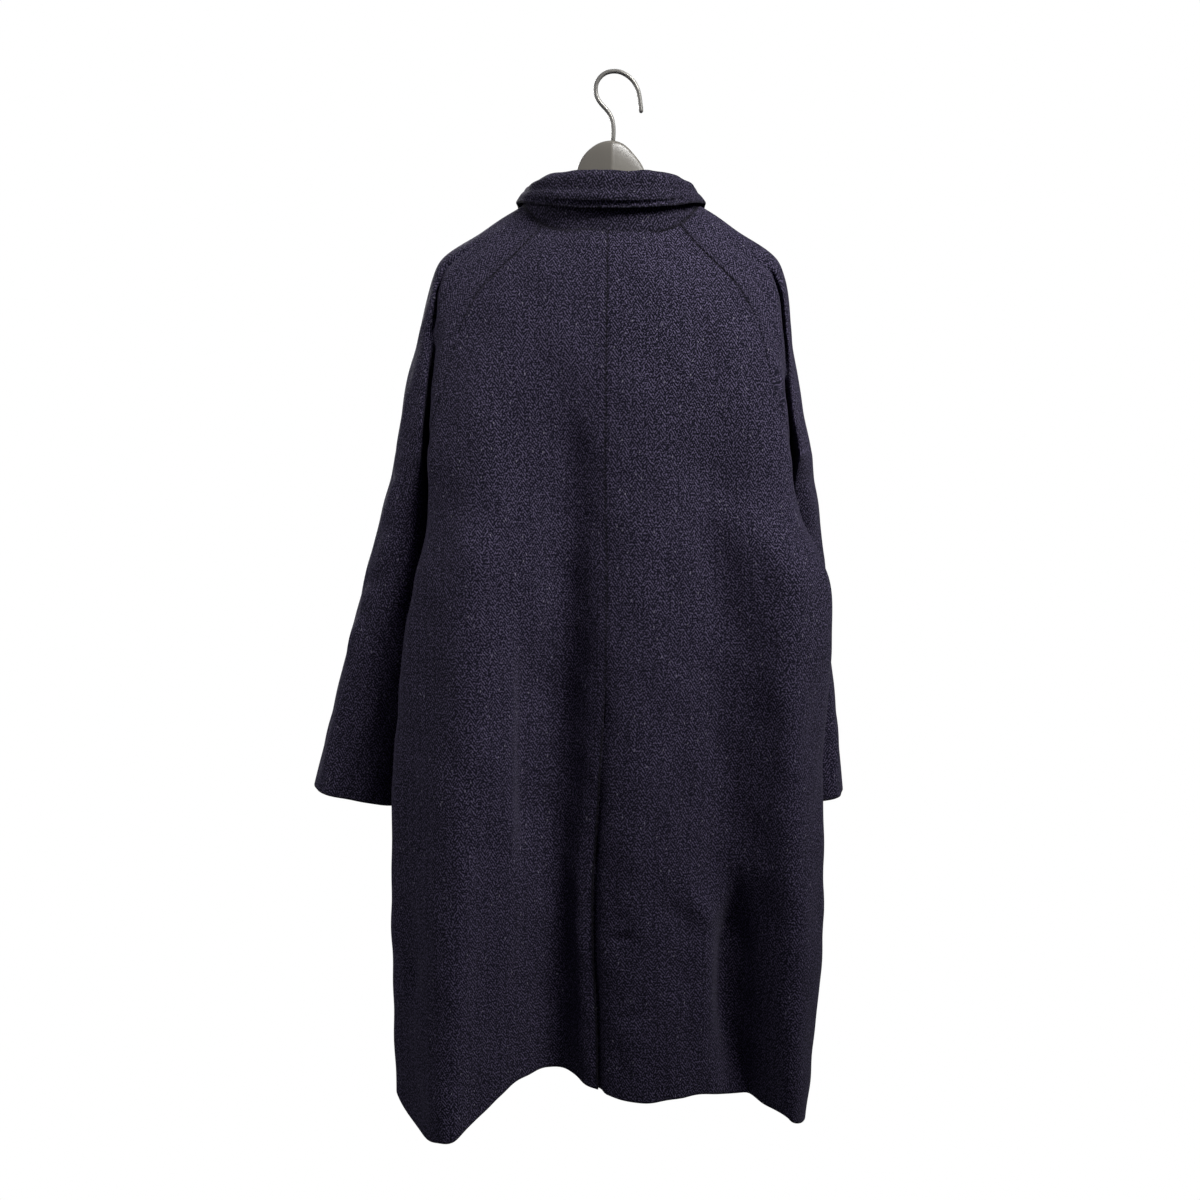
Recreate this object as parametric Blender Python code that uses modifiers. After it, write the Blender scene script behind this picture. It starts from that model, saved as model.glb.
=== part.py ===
"""A long raglan tweed coat hanging on a plastic hanger.

Metres, +Z up. The origin is the inside top of the hanger's hook, where it hangs on a rod.
The coat's back faces +Y and its front -Y, so the wearer's left is +X.
Every cloth piece is a thin wall: a grid of outer points lofted through rings, with the same
points moved inwards by the cloth's thickness.
"""
import math

import bmesh
import bpy
import numpy as np

# Sizes of the cloth and its seams
CLOTH = 0.0022
COLLAR_CLOTH = 0.0036
SEAM = 0.0003
LAP_CLEARANCE = 0.0007
FRONT_LAP = 0.040
LAP_EASE = 0.030

# Drawing of the rings
SHOULDER = 0.200
SWEEP = 0.020
NECK_RISE = 5.0
CREASE_TURN = math.radians(4.2)
CREASE_LIP = math.radians(8.4)
PANEL_REACH = 0.90
SLEEVE_REACH = 0.35
SLEEVE_SIDE = math.radians(60)
SLEEVE_SQUARE = 2.3
FADE_POWER = 6
BODY_BLEND = 0.17
SLEEVE_BLEND = 0.32
DENSE = 181

# Rows and columns of the grids
YOKE_ROWS = 9
BODY_ROWS = 15
SLEEVE_ROWS = 9
BACK_COLUMNS = 25
FRONT_COLUMNS = 17
SLEEVE_COLUMNS = 19
BACK_SIDE_STEPS = 6
FRONT_SIDE_STEPS = 4
SLEEVE_SIDE_STEPS = 4
VENT_LAP_COLUMNS = 3
FRONT_LAP_COLUMNS = 2
COLLAR_COLUMNS = 37
COLLAR_ROWS = 11
VENT_TOP_ROW = 6

# Heights of the hem and the levels where folds begin
HEM_FRONT = -1.195
HEM_SIDE_LEFT = -1.206
HEM_SIDE_RIGHT = -1.222
FOLD_START = 0.55

# Buttons down the front
BUTTON_RADIUS = 0.0125
BUTTON_THICK = 0.0042
BUTTON_SEAT = 0.0009
BUTTON_SIDES = 20
BUTTON_HEIGHTS = (-0.315, -0.445, -0.575, -0.705)

# The hanger and its hook
HOOK_WIRE = 0.0026
HOOK_ROUNDING = 2
HOOK_STEPS = 5
HANGER_CLEARANCE = 0.0009
HANGER_SHIFT = 0.002
HANGER_SIDES = 12
HANGER_FLATNESS = 0.6

# Points nearer than this are one point where a turned profile closes
MERGE = 0.00001


def table(columns, *rows):
    """A short table as one array for each named column."""
    return dict(zip(columns.split(), np.array(rows, float).T))


# Rings of the shoulders, from the neck seam (level 0) to the armpit (level 1).
# left and right are half widths, crease and seam are shares of the half width.
YOKE = table(
    "level left   right  back   front  square back_z  side_z  front_z drift"
    " pinch crease_left crease_right seam_left seam_right",
    (0.00, 0.104, 0.100, 0.058, -0.072, 2.2, -0.185, -0.146, -0.235, 0.006, 0.00, 0.95, 0.90, 0.75, 0.78),
    (0.14, 0.150, 0.145, 0.072, -0.088, 2.3, -0.215, -0.176, -0.262, 0.007, 0.00, 0.95, 0.90, 0.67, 0.69),
    (0.28, 0.193, 0.186, 0.082, -0.096, 2.5, -0.250, -0.200, -0.292, 0.007, 0.00, 0.95, 0.90, 0.69, 0.72),
    (0.42, 0.212, 0.203, 0.088, -0.101, 2.7, -0.280, -0.223, -0.318, 0.008, 0.08, 0.95, 0.90, 0.73, 0.76),
    (0.56, 0.222, 0.210, 0.093, -0.104, 3.0, -0.312, -0.258, -0.345, 0.008, 0.30, 0.92, 0.88, 0.77, 0.82),
    (0.72, 0.236, 0.215, 0.098, -0.108, 3.4, -0.360, -0.317, -0.385, 0.009, 0.62, 0.87, 0.88, 0.79, 0.85),
    (0.87, 0.250, 0.225, 0.100, -0.110, 3.7, -0.408, -0.376, -0.420, 0.009, 0.86, 0.83, 0.880, 0.80, 0.870),
    (1.00, 0.259, 0.237, 0.100, -0.110, 4.0, -0.450, -0.436, -0.455, 0.010, 0.98, 0.81, 0.873, 0.81, 0.873),
)

# Level sections of the body, from the armpit (drop 0) to the hem (drop 1).
# back, side and front are half widths at the back turn, the side seam and the front turn.
BODY = table(
    "drop back_y front_y back_left back_right side_left side_right front_left front_right"
    " back_turn front_turn square drift",
    (0.00, 0.100, -0.110, 0.208, 0.204, 0.200, 0.188, 0.200, 0.186, 0.045, -0.064, 4.0, 0.010),
    (0.12, 0.103, -0.113, 0.223, 0.242, 0.200, 0.180, 0.202, 0.180, 0.045, -0.066, 3.4, 0.012),
    (0.21, 0.105, -0.115, 0.238, 0.261, 0.202, 0.178, 0.202, 0.178, 0.045, -0.068, 3.0, 0.014),
    (0.30, 0.107, -0.117, 0.248, 0.256, 0.205, 0.174, 0.202, 0.174, 0.045, -0.070, 2.8, 0.016),
    (0.40, 0.107, -0.118, 0.256, 0.251, 0.210, 0.172, 0.205, 0.172, 0.045, -0.072, 2.6, 0.018),
    (0.55, 0.104, -0.120, 0.263, 0.251, 0.218, 0.176, 0.212, 0.175, 0.045, -0.075, 2.5, 0.019),
    (0.70, 0.098, -0.121, 0.2645, 0.253, 0.234, 0.200, 0.224, 0.194, 0.045, -0.076, 2.5, 0.019),
    (0.86, 0.090, -0.121, 0.2645, 0.2445, 0.242, 0.212, 0.230, 0.206, 0.045, -0.077, 2.5, 0.019),
    (1.00, 0.082, -0.120, 0.262, 0.2355, 0.244, 0.218, 0.232, 0.210, 0.045, -0.077, 2.5, 0.019),
)

# Largest folds: where each lies across the coat at its top and at the hem, and how far it
# stands out (ridge, positive) or in (trough, negative) at the hem.
BACK_FOLDS = table(
    "x_top   x_hem   width  depth",
    (0.140, 0.192, 0.046, 0.058),
    (0.048, 0.073, 0.040, -0.034),
    (-0.030, -0.034, 0.050, 0.014),
    (-0.108, -0.137, 0.032, -0.020),
    (-0.185, -0.203, 0.034, 0.042),
)
FRONT_FOLDS = table(
    "x_top   x_hem   width  depth",
    (0.150, 0.180, 0.034, 0.016),
    (0.095, 0.118, 0.040, -0.016),
    (0.048, 0.060, 0.038, 0.020),
    (-0.070, -0.078, 0.036, 0.018),
    (-0.112, -0.130, 0.030, -0.014),
    (-0.140, -0.172, 0.030, 0.012),
)

# Height of the back hem across the coat
HEM_BACK = table(
    "x z",
    (-0.236, -1.2330),
    (-0.200, -1.2230),
    (-0.170, -1.2130),
    (-0.138, -1.2070),
    (-0.080, -1.2020),
    (-0.020, -1.2040),
    (0.020, -1.1945),
    (0.073, -1.1800),
    (0.100, -1.1835),
    (0.134, -1.2000),
    (0.166, -1.2250),
    (0.200, -1.2365),
    (0.228, -1.2360),
    (0.263, -1.2100),
)

# Sleeve sections from the armpit (share 0) to the cuff (share 1)
SLEEVE_LEFT = table(
    "share outer  inner  back   front  outer_z inner_z",
    (0.00, 0.260, 0.206, 0.052, -0.115, -0.440, -0.450),
    (0.25, 0.287, 0.217, 0.040, -0.118, -0.540, -0.555),
    (0.50, 0.316, 0.223, 0.031, -0.112, -0.643, -0.662),
    (0.75, 0.344, 0.236, 0.018, -0.102, -0.746, -0.768),
    (1.00, 0.371, 0.254, 0.010, -0.092, -0.850, -0.872),
)
SLEEVE_RIGHT = table(
    "share outer  inner  back   front  outer_z inner_z",
    (0.00, 0.240, 0.208, 0.046, -0.118, -0.440, -0.450),
    (0.12, 0.249, 0.207, 0.024, -0.124, -0.490, -0.500),
    (0.25, 0.258, 0.201, 0.008, -0.130, -0.545, -0.555),
    (0.50, 0.268, 0.192, -0.003, -0.136, -0.650, -0.662),
    (0.75, 0.281, 0.192, -0.006, -0.130, -0.756, -0.770),
    (1.00, 0.291, 0.197, -0.008, -0.122, -0.861, -0.874),
)

# Rings of the collar from the neck seam over the fold to the edge of the fall.
# opening is half the gap between the collar's ends at the front.
COLLAR = table(
    "share half   back   front  back_z  side_z  front_z opening rise",
    (0.00, 0.1000, 0.0562, -0.0700, -0.1846, -0.1448, -0.2345, 0.003, 4.0),
    (0.20, 0.0910, 0.0545, -0.0670, -0.1560, -0.1355, -0.2180, 0.004, 4.2),
    (0.42, 0.0800, 0.0510, -0.0630, -0.1255, -0.1325, -0.2040, 0.005, 6.5),
    (0.50, 0.0840, 0.0555, -0.0670, -0.1190, -0.1270, -0.1990, 0.006, 7.5),
    (0.58, 0.0880, 0.0610, -0.0740, -0.1215, -0.1270, -0.2030, 0.010, 7.0),
    (0.80, 0.0985, 0.0672, -0.0920, -0.1432, -0.1345, -0.2360, 0.026, 5.0),
    (1.00, 0.1122, 0.0715, -0.1070, -0.1640, -0.1405, -0.2700, 0.046, 4.2),
)
COLLAR_SHIFT = 0.002
COLLAR_SQUARE = 2.2

# A button's turned profile, from its middle over the raised rim to its flat back.
# radius is a share of the button's radius, rise a share of its thickness.
BUTTON_PROFILE = table(
    "radius rise",
    (0.00, 0.72),
    (0.66, 0.72),
    (0.78, 1.00),
    (0.94, 1.00),
    (1.00, 0.55),
    (0.86, 0.00),
    (0.00, 0.00),
)

# The hanger's head and neck; its arms follow the shoulders
HANGER = table(
    "x      top     height thick",
    (0.000, -0.0756, 0.1030, 0.0120),
    (0.012, -0.0772, 0.1015, 0.0120),
    (0.024, -0.0838, 0.0950, 0.0120),
    (0.033, -0.0925, 0.0870, 0.0120),
    (0.039, -0.1040, 0.0755, 0.0120),
    (0.042, -0.1180, 0.0620, 0.0120),
    (0.048, -0.1350, 0.0460, 0.0125),
    (0.060, -0.1465, 0.0365, 0.0130),
    (0.078, -0.1510, 0.0340, 0.0135),
)
HANGER_ARM = table(
    "x      height thick",
    (0.104, 0.0330, 0.0140),
    (0.125, 0.0310, 0.0140),
    (0.146, 0.0280, 0.0140),
    (0.167, 0.0240, 0.0140),
    (0.180, 0.0190, 0.0130),
    (0.186, 0.0110, 0.0090),
)

# The hook's wire, from the hanger's head up and round to its tip
HOOK = table(
    "x      z",
    (0.0000, -0.0752),
    (0.0000, -0.0560),
    (0.0045, -0.0430),
    (0.0155, -0.0320),
    (0.0205, -0.0180),
    (0.0150, -0.0030),
    (0.0000, 0.0026),
    (-0.0160, -0.0010),
    (-0.0265, -0.0120),
    (-0.0312, -0.0280),
    (-0.0330, -0.0440),
)


def curve(knots, values, place):
    """A smooth curve through a column's values: cubic pieces whose slopes come from the neighbours."""
    slope = np.gradient(values, knots)
    first = np.clip(np.searchsorted(knots, place, side="right") - 1, 0, len(knots) - 2)
    span = knots[first + 1] - knots[first]
    part = (place - knots[first]) / span
    start = values[first] + part * span * slope[first]
    end = values[first + 1] - (1 - part) * span * slope[first + 1]
    bend = ease(part)
    return start * (1 - bend) + end * bend


def ease(share):
    """A smooth step from 0 to 1."""
    share = np.clip(share, 0, 1)
    return share * share * (3 - 2 * share)


def row_of(rows, key, place):
    """Each column of a table, read at one place between its rows."""
    return {name: curve(rows[key], column, place) for name, column in rows.items()}


def even(points, count):
    """The same line as a number of points at even steps."""
    step = np.linalg.norm(np.diff(points, axis=0), axis=1)
    length = np.concatenate([[0], np.cumsum(step)])
    places = np.linspace(0, length[-1], count)
    return np.stack([np.interp(places, length, points[:, axis]) for axis in range(3)], axis=1)


def even_parts(points, marks, steps):
    """The same line again, with a number of even steps in each stretch between its marks."""
    ends = [0, *marks, len(points) - 1]
    parts = [points[:1]]
    for start, end, number in zip(ends, ends[1:], steps):
        parts.append(even(points[start:end + 1], number + 1)[1:])
    return np.concatenate(parts)


def stretches(*ends):
    """Many even steps along each stretch between a line's ends."""
    parts = [np.linspace(start, end, DENSE)[1:] for start, end in zip(ends, ends[1:])]
    return np.concatenate([ends[:1], *parts])


def word(side):
    """The name of a side: +1 is the wearer's left."""
    return "left" if side > 0 else "right"


def drape(folds, x, level):
    """How far the folds stand out at x, growing from where they begin down to the hem."""
    share = np.clip((level - FOLD_START) / (2 - FOLD_START), 0, 1)
    centre = folds["x_top"] + (folds["x_hem"] - folds["x_top"]) * share
    bump = np.exp(-(((x[:, None] - centre) / folds["width"]) ** 2))
    return bump @ folds["depth"] * share


def yoke(side, level, turn):
    """Shoulder points: turn runs from 0 at the centre back over the shoulder to pi at the centre front."""
    row = row_of(YOKE, "level", level)
    power = 2 / row["square"]
    half = row[word(side)]
    wide = np.clip(np.sin(turn), 0, 1)
    across = wide**power
    depth = np.sign(np.cos(turn)) * np.abs(np.cos(turn)) ** power
    crease = turn_at(side, level, "crease")
    nearest = np.minimum(np.abs(turn - crease), np.abs(turn - (math.pi - crease)))
    pinch = 1 - row["pinch"] * np.exp(-((nearest / CREASE_TURN) ** 2))
    middle = (row["back"] + row["front"]) / 2
    deep = (row["back"] - row["front"]) / 2
    behind = np.cos(turn) > 0
    x = side * half * across + row["drift"] * np.where(behind, np.cos(turn) ** 2, 0)
    y = middle + deep * depth * pinch - SWEEP * (half * across / SHOULDER) ** 2
    fade = 1 - wide**FADE_POWER
    y = y + fade * np.where(behind, drape(BACK_FOLDS, x, level), -drape(FRONT_FOLDS, x, level))
    centre_z = np.where(behind, row["back_z"], row["front_z"])
    z = centre_z + (row["side_z"] - centre_z) * wide**NECK_RISE
    return np.stack([x, y, z], axis=1)


def turn_at(side, level, line):
    """The turn at which a line, the raglan seam or the crease, crosses a shoulder ring at the back."""
    row = row_of(YOKE, "level", level)
    return math.asin(row[f"{line}_{word(side)}"] ** (row["square"] / 2))


def body_half(side, drop, face):
    """Half of a level section: from its centre line round the turn to the side seam."""
    row = row_of(BODY, "drop", drop)
    power = 2 / row["square"]
    turn = np.linspace(0, math.pi / 2, DENSE)
    half = row[f"{face}_{word(side)}"]
    seam = row[f"side_{word(side)}"]
    turn_y = row[face + "_turn"]
    seam_y = (row["back_turn"] + row["front_turn"]) / 2
    drift = row["drift"] if face == "back" else 0
    x = side * half * np.sin(turn) ** power + drift * np.cos(turn) ** 2
    y = turn_y + (row[face + "_y"] - turn_y) * np.clip(np.cos(turn), 0, 1) ** power
    fade = 1 - np.sin(turn) ** FADE_POWER
    if face == "back":
        y = y + fade * drape(BACK_FOLDS, x, 1 + drop)
    else:
        y = y - fade * drape(FRONT_FOLDS, x, 1 + drop)
    reach = np.linspace(0, 1, DENSE // 3)[1:]
    x = np.concatenate([x, side * (half + (seam - half) * ease(reach))])
    y = np.concatenate([y, turn_y + (seam_y - turn_y) * reach])
    return np.stack([x, y, hem_height(side, face, x, np.concatenate([turn * 0, reach]))], axis=1)


def hem_height(side, face, x, reach):
    """Height of the hem: a curve across the back, then eased to the side seam and the front."""
    seam = HEM_SIDE_LEFT if side > 0 else HEM_SIDE_RIGHT
    if face == "back":
        low, high = HEM_BACK["x"][0], HEM_BACK["x"][-1]
        panel = curve(HEM_BACK["x"], HEM_BACK["z"], np.clip(x, low, high))
        return panel + (seam - panel) * ease(reach)
    share = np.abs(x) / np.abs(x).max()
    panel = HEM_FRONT + (seam - HEM_FRONT) * ease(share) / 2
    return panel + (seam - panel) * ease(reach)


def panel_row(side, level, face, columns, side_steps):
    """A row of a front or back panel, from its centre line to the raglan or side seam.

    The last side_steps lie past the lip of the crease and, lower down, past the turn to the side."""
    top = min(level, 1)
    seam = turn_at(side, top, "seam")
    lip = min(turn_at(side, top, "crease") - CREASE_LIP, PANEL_REACH * seam)
    turn = stretches(0, lip, seam)
    if face == "front":
        turn = math.pi - turn
    marks = [DENSE - 1]
    steps = [columns - 1 - side_steps, side_steps]
    row = even_parts(yoke(side, top, turn), marks, steps)
    if level <= 1:
        return row
    drop = level - 1
    hem = even_parts(body_half(side, drop, face), marks, steps)
    share = ease(drop / BODY_BLEND)
    plan = row[:, :2] * (1 - share) + hem[:, :2] * share
    height = row[:, 2] + (hem[:, 2] - row[:, 2]) * drop
    return np.column_stack([plan, height])


def sleeve_row(side, level, columns, side_steps):
    """A row of a sleeve: over the shoulder between the raglan seams, or round the hanging sleeve.

    The first and last side_steps lie in the crease and, lower down, on the side next to the body."""
    top = min(level, 1)
    seam = turn_at(side, top, "seam")
    lip = min(turn_at(side, top, "crease") + CREASE_LIP, seam + SLEEVE_REACH * (math.pi / 2 - seam))
    marks = [DENSE - 1, 2 * (DENSE - 1)]
    steps = [side_steps, columns - 1 - 2 * side_steps, side_steps]
    row = even_parts(yoke(side, top, stretches(seam, lip, math.pi - lip, math.pi - seam)), marks, steps)
    if level <= 1:
        return row
    share = level - 1
    size = row_of(SLEEVE_LEFT if side > 0 else SLEEVE_RIGHT, "share", share)
    power = 2 / SLEEVE_SQUARE
    whole = 2 * math.pi
    spin = stretches(0, SLEEVE_SIDE, whole - SLEEVE_SIDE, whole)
    round_x = np.sign(np.cos(spin)) * np.abs(np.cos(spin)) ** power
    round_y = np.sign(np.sin(spin)) * np.abs(np.sin(spin)) ** power
    x = (size["outer"] + size["inner"]) / 2 - round_x * (size["outer"] - size["inner"]) / 2
    y = (size["back"] + size["front"]) / 2 + round_y * (size["back"] - size["front"]) / 2
    across = (x - size["inner"]) / (size["outer"] - size["inner"])
    z = size["inner_z"] + (size["outer_z"] - size["inner_z"]) * across
    ring = even_parts(np.stack([side * x, y, z], axis=1), marks, steps)
    bend = ease(share / SLEEVE_BLEND)
    return row * (1 - bend) + ring * bend


def grid_normals(grid, before, after, outward):
    """Outward directions of a grid, using the neighbour's column past each edge."""
    wide = np.concatenate([before[:, None], grid, after[:, None]], axis=1)
    across = wide[:, 2:] - wide[:, :-2]
    down = np.gradient(grid, axis=0)
    normal = np.cross(across, down) * outward
    return normal / np.linalg.norm(normal, axis=2, keepdims=True)


def pull_in(grid, edge, inside):
    """Moves an edge column back from its seam by half the seam's gap."""
    step = grid[:, inside] - grid[:, edge]
    grid[:, edge] += step / np.linalg.norm(step, axis=1, keepdims=True) * SEAM / 2


def material(name, colour, roughness, metallic=0.0):
    """A Principled material for one kind of surface."""
    made = bpy.data.materials.new(name)
    made.use_nodes = True
    shader = made.node_tree.nodes["Principled BSDF"]
    shader.inputs["Base Color"].default_value = (*colour, 1)
    shader.inputs["Roughness"].default_value = roughness
    shader.inputs["Metallic"].default_value = metallic
    return made


def add(collection, name, mesh, finish):
    """A named object for one piece."""
    mesh.materials.append(finish)
    piece = bpy.data.objects.new(name, mesh)
    collection.objects.link(piece)
    return piece


def wall(name, outer, inner, cells=None):
    """A closed wall between two grids of points: both skins, and a rim round the cells that are kept."""
    rows, columns = outer.shape[:2]
    keep = np.ones((rows - 1, columns - 1), bool) if cells is None else cells
    count = rows * columns
    framed = np.pad(keep, 1)
    faces = []
    for row, column in zip(*np.nonzero(keep)):
        near = row * columns + column
        corners = (near, near + 1, near + columns + 1, near + columns)
        faces.append(corners)
        faces.append(tuple(count + corner for corner in reversed(corners)))
        beside = (framed[row, column + 1], framed[row + 1, column + 2],
                  framed[row + 2, column + 1], framed[row + 1, column])
        for index, covered in enumerate(beside):
            if not covered:
                start, end = sorted((corners[index], corners[(index + 1) % 4]))
                faces.append((start, end, count + end))
                faces.append((start, count + end, count + start))
    mesh = bpy.data.meshes.new(name)
    mesh.from_pydata(np.concatenate([outer.reshape(-1, 3), inner.reshape(-1, 3)]).tolist(), [], faces)
    shape = bmesh.new()
    shape.from_mesh(mesh)
    loose = [vertex for vertex in shape.verts if not vertex.link_faces]
    bmesh.ops.delete(shape, geom=loose, context="VERTS")
    bmesh.ops.recalc_face_normals(shape, faces=shape.faces)
    shape.to_mesh(mesh)
    shape.free()
    mesh.shade_smooth()
    return mesh


def garment_grids():
    """The outer grids of the panels and sleeves, meeting exactly at their seams."""
    yoke_levels = np.linspace(0, 1, YOKE_ROWS)
    body_levels = np.concatenate([yoke_levels, 1 + np.linspace(0, 1, BODY_ROWS + 1)[1:]])
    sleeve_levels = np.concatenate([yoke_levels, 1 + np.linspace(0, 1, SLEEVE_ROWS + 1)[1:]])
    grids = {}
    for side in (1, -1):
        for face, columns, side_steps in (("back", BACK_COLUMNS, BACK_SIDE_STEPS),
                                          ("front", FRONT_COLUMNS, FRONT_SIDE_STEPS)):
            rows = [panel_row(side, level, face, columns, side_steps) for level in body_levels]
            grids[f"{face}_{word(side)}"] = np.array(rows)
        rows = [sleeve_row(side, level, SLEEVE_COLUMNS, SLEEVE_SIDE_STEPS) for level in sleeve_levels]
        grids[f"sleeve_{word(side)}"] = np.array(rows)
    return grids


def garment_normals(grids):
    """Outward directions for every grid, the same on both sides of a seam."""
    normals = {}
    armpit = YOKE_ROWS - 1
    for side in (1, -1):
        own, other = word(side), word(-side)
        sleeve = grids["sleeve_" + own]
        for face, sleeve_column in (("back", 1), ("front", -2)):
            grid = grids[f"{face}_{own}"]
            facing = "front" if face == "back" else "back"
            past_seam = grids[f"{facing}_{own}"][:, -2].copy()
            past_seam[:armpit] = sleeve[:armpit, sleeve_column]
            past_centre = grids[f"{face}_{other}"][:, 1]
            outward = side if face == "back" else -side
            normals[f"{face}_{own}"] = grid_normals(grid, past_centre, past_seam, outward)
        before, after = sleeve[:, -2].copy(), sleeve[:, 1].copy()
        before[:armpit] = grids["back_" + own][:armpit, -2]
        after[:armpit] = grids["front_" + own][:armpit, -2]
        normals["sleeve_" + own] = grid_normals(sleeve, before, after, side)
    return normals


def lap_columns(grids, normals, facing, count):
    """Columns that carry a panel past its centre line: the facing panel's own, outermost first.

    Gives their points and their outward directions."""
    return grids[facing][:, count:0:-1], normals[facing][:, count:0:-1]


def build_sleeves(collection, grids, normals, tweed):
    """One raglan sleeve a side, from the neck seam over the shoulder to the cuff."""
    for side in ("left", "right"):
        outer = grids["sleeve_" + side].copy()
        pull_in(outer, 0, 1)
        pull_in(outer, -1, -2)
        inner = outer - normals["sleeve_" + side] * CLOTH
        add(collection, "sleeve_" + side, wall("sleeve_" + side, outer, inner), tweed)


def build_backs(collection, grids, normals, tweed):
    """Two back panels: below the top of the vent the left laps over an extension of the right."""
    left = grids["back_left"].copy()
    pull_in(left, 0, 1)
    pull_in(left, -1, -2)
    add(collection, "back_left", wall("back_left", left, left - normals["back_left"] * CLOTH), tweed)

    right = grids["back_right"].copy()
    pull_in(right, 0, 1)
    pull_in(right, -1, -2)
    lap, lap_normal = lap_columns(grids, normals, "back_left", VENT_LAP_COLUMNS)
    outer = np.concatenate([lap, right], axis=1)
    normal = np.concatenate([lap_normal, normals["back_right"]], axis=1)
    vent_row = YOKE_ROWS - 1 + VENT_TOP_ROW
    reach = np.linalg.norm(outer - outer[:, VENT_LAP_COLUMNS:VENT_LAP_COLUMNS + 1], axis=2)
    reach[:, :VENT_LAP_COLUMNS] = 0
    sink = (CLOTH + LAP_CLEARANCE) * (1 - ease(reach / LAP_EASE))
    sink[:vent_row] = 0
    outer = outer - normal * sink[:, :, None]
    cells = np.ones((outer.shape[0] - 1, outer.shape[1] - 1), bool)
    cells[:vent_row, :VENT_LAP_COLUMNS] = False
    add(collection, "back_right", wall("back_right", outer, outer - normal * CLOTH, cells), tweed)


def build_fronts(collection, grids, normals, tweed):
    """Two front panels: the left laps over the right along the centre front."""
    for side, under in (("left", False), ("right", True)):
        other = "left" if under else "right"
        own = grids["front_" + side].copy()
        pull_in(own, -1, -2)
        lap, lap_normal = lap_columns(grids, normals, "front_" + other, FRONT_LAP_COLUMNS)
        outer = np.concatenate([lap, own], axis=1)
        normal = np.concatenate([lap_normal, normals["front_" + side]], axis=1)
        if under:
            reach = np.linalg.norm(outer - outer[:, FRONT_LAP_COLUMNS:FRONT_LAP_COLUMNS + 1], axis=2)
            reach[:, :FRONT_LAP_COLUMNS] = 0
            sink = (CLOTH + LAP_CLEARANCE) * (1 - ease((reach - FRONT_LAP) / LAP_EASE))
            outer = outer - normal * sink[:, :, None]
        name = "front_" + side
        add(collection, name, wall(name, outer, outer - normal * CLOTH), tweed)


def collar_grid():
    """The collar's outer side: rings from the neck seam up the stand, over the fold and down the fall."""
    grid = []
    for share in np.linspace(0, 1, COLLAR_ROWS):
        row = row_of(COLLAR, "share", share)
        power = 2 / COLLAR_SQUARE
        end = math.pi - math.asin((row["opening"] / row["half"]) ** (1 / power))
        turn = np.linspace(-end, end, 2 * DENSE)
        wide = np.abs(np.sin(turn))
        depth = np.sign(np.cos(turn)) * np.abs(np.cos(turn)) ** power
        x = COLLAR_SHIFT + np.sign(turn) * row["half"] * wide**power
        y = (row["back"] + row["front"]) / 2 + depth * (row["back"] - row["front"]) / 2
        y = y - SWEEP * (x / SHOULDER) ** 2
        centre_z = np.where(np.cos(turn) > 0, row["back_z"], row["front_z"])
        z = centre_z + (row["side_z"] - centre_z) * wide ** row["rise"]
        grid.append(even(np.stack([x, y, z], axis=1), COLLAR_COLUMNS))
    return np.array(grid)


def build_collar(collection, tweed):
    """The turned-down collar, stand and fall in one folded piece."""
    grid = collar_grid()
    across = np.gradient(grid, axis=1)
    up = np.gradient(grid, axis=0)
    normal = np.cross(up, across)
    normal /= np.linalg.norm(normal, axis=2, keepdims=True)
    half = normal * COLLAR_CLOTH / 2
    add(collection, "collar", wall("collar", grid + half, grid - half), tweed)


def build_buttons(collection, grids, normals, horn):
    """Turned buttons down the centre front, each seated on the left front panel."""
    panel, normal = grids["front_left"][:, 0], normals["front_left"][:, 0]
    across = BUTTON_PROFILE["radius"] * BUTTON_RADIUS
    profile = np.column_stack([across, across * 0, BUTTON_PROFILE["rise"] * BUTTON_THICK]).tolist()
    edges = [(at, at + 1) for at in range(len(profile) - 1)]
    order = np.argsort(panel[:, 2])
    for index, height in enumerate(BUTTON_HEIGHTS, start=1):
        mesh = bpy.data.meshes.new(f"button_{index}")
        mesh.from_pydata(profile, edges, [])
        button = add(collection, f"button_{index}", mesh, horn)
        turned = button.modifiers.new("Turned", "SCREW")
        turned.steps = turned.render_steps = BUTTON_SIDES
        turned.use_merge_vertices = True
        turned.merge_threshold = MERGE
        place = [np.interp(height, panel[order, 2], panel[order, axis]) for axis in range(3)]
        facing = np.array([np.interp(height, panel[order, 2], normal[order, axis]) for axis in range(3)])
        facing /= np.linalg.norm(facing)
        button.location = np.array(place) + facing * BUTTON_SEAT
        tilt = math.atan2(facing[2], -facing[1])
        button.rotation_euler = (math.pi / 2 - tilt, 0, math.atan2(facing[0], -facing[1]))


def shoulder_ridge(grids, normals, side):
    """The highest line inside one shoulder, row by row from the neck to past the hanger's tip."""
    name = "sleeve_" + word(side)
    inner = grids[name] - normals[name] * CLOTH
    rows = range(YOKE_ROWS // 2 + 1)
    return np.array([inner[row, inner[row, :, 2].argmax()] for row in rows]) * (side, 1, 1)


def hanger_sections(grids, normals):
    """Sections of the hanger along x: centre y, top, height and thickness."""
    sections = []
    for side in (1, -1):
        ridge = shoulder_ridge(grids, normals, side)
        half = []
        for x, top, height, thick in zip(*HANGER.values()):
            half.append((side * x + HANGER_SHIFT, -SWEEP * x / SHOULDER, top, height, thick))
        for x, height, thick in zip(*HANGER_ARM.values()):
            top = np.interp(x, ridge[:, 0], ridge[:, 2]) - HANGER_CLEARANCE
            half.append((side * x, np.interp(x, ridge[:, 0], ridge[:, 1]), top, height, thick))
        sections = half[::-1] + sections if side > 0 else sections + half[1:]
    return sections


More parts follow.
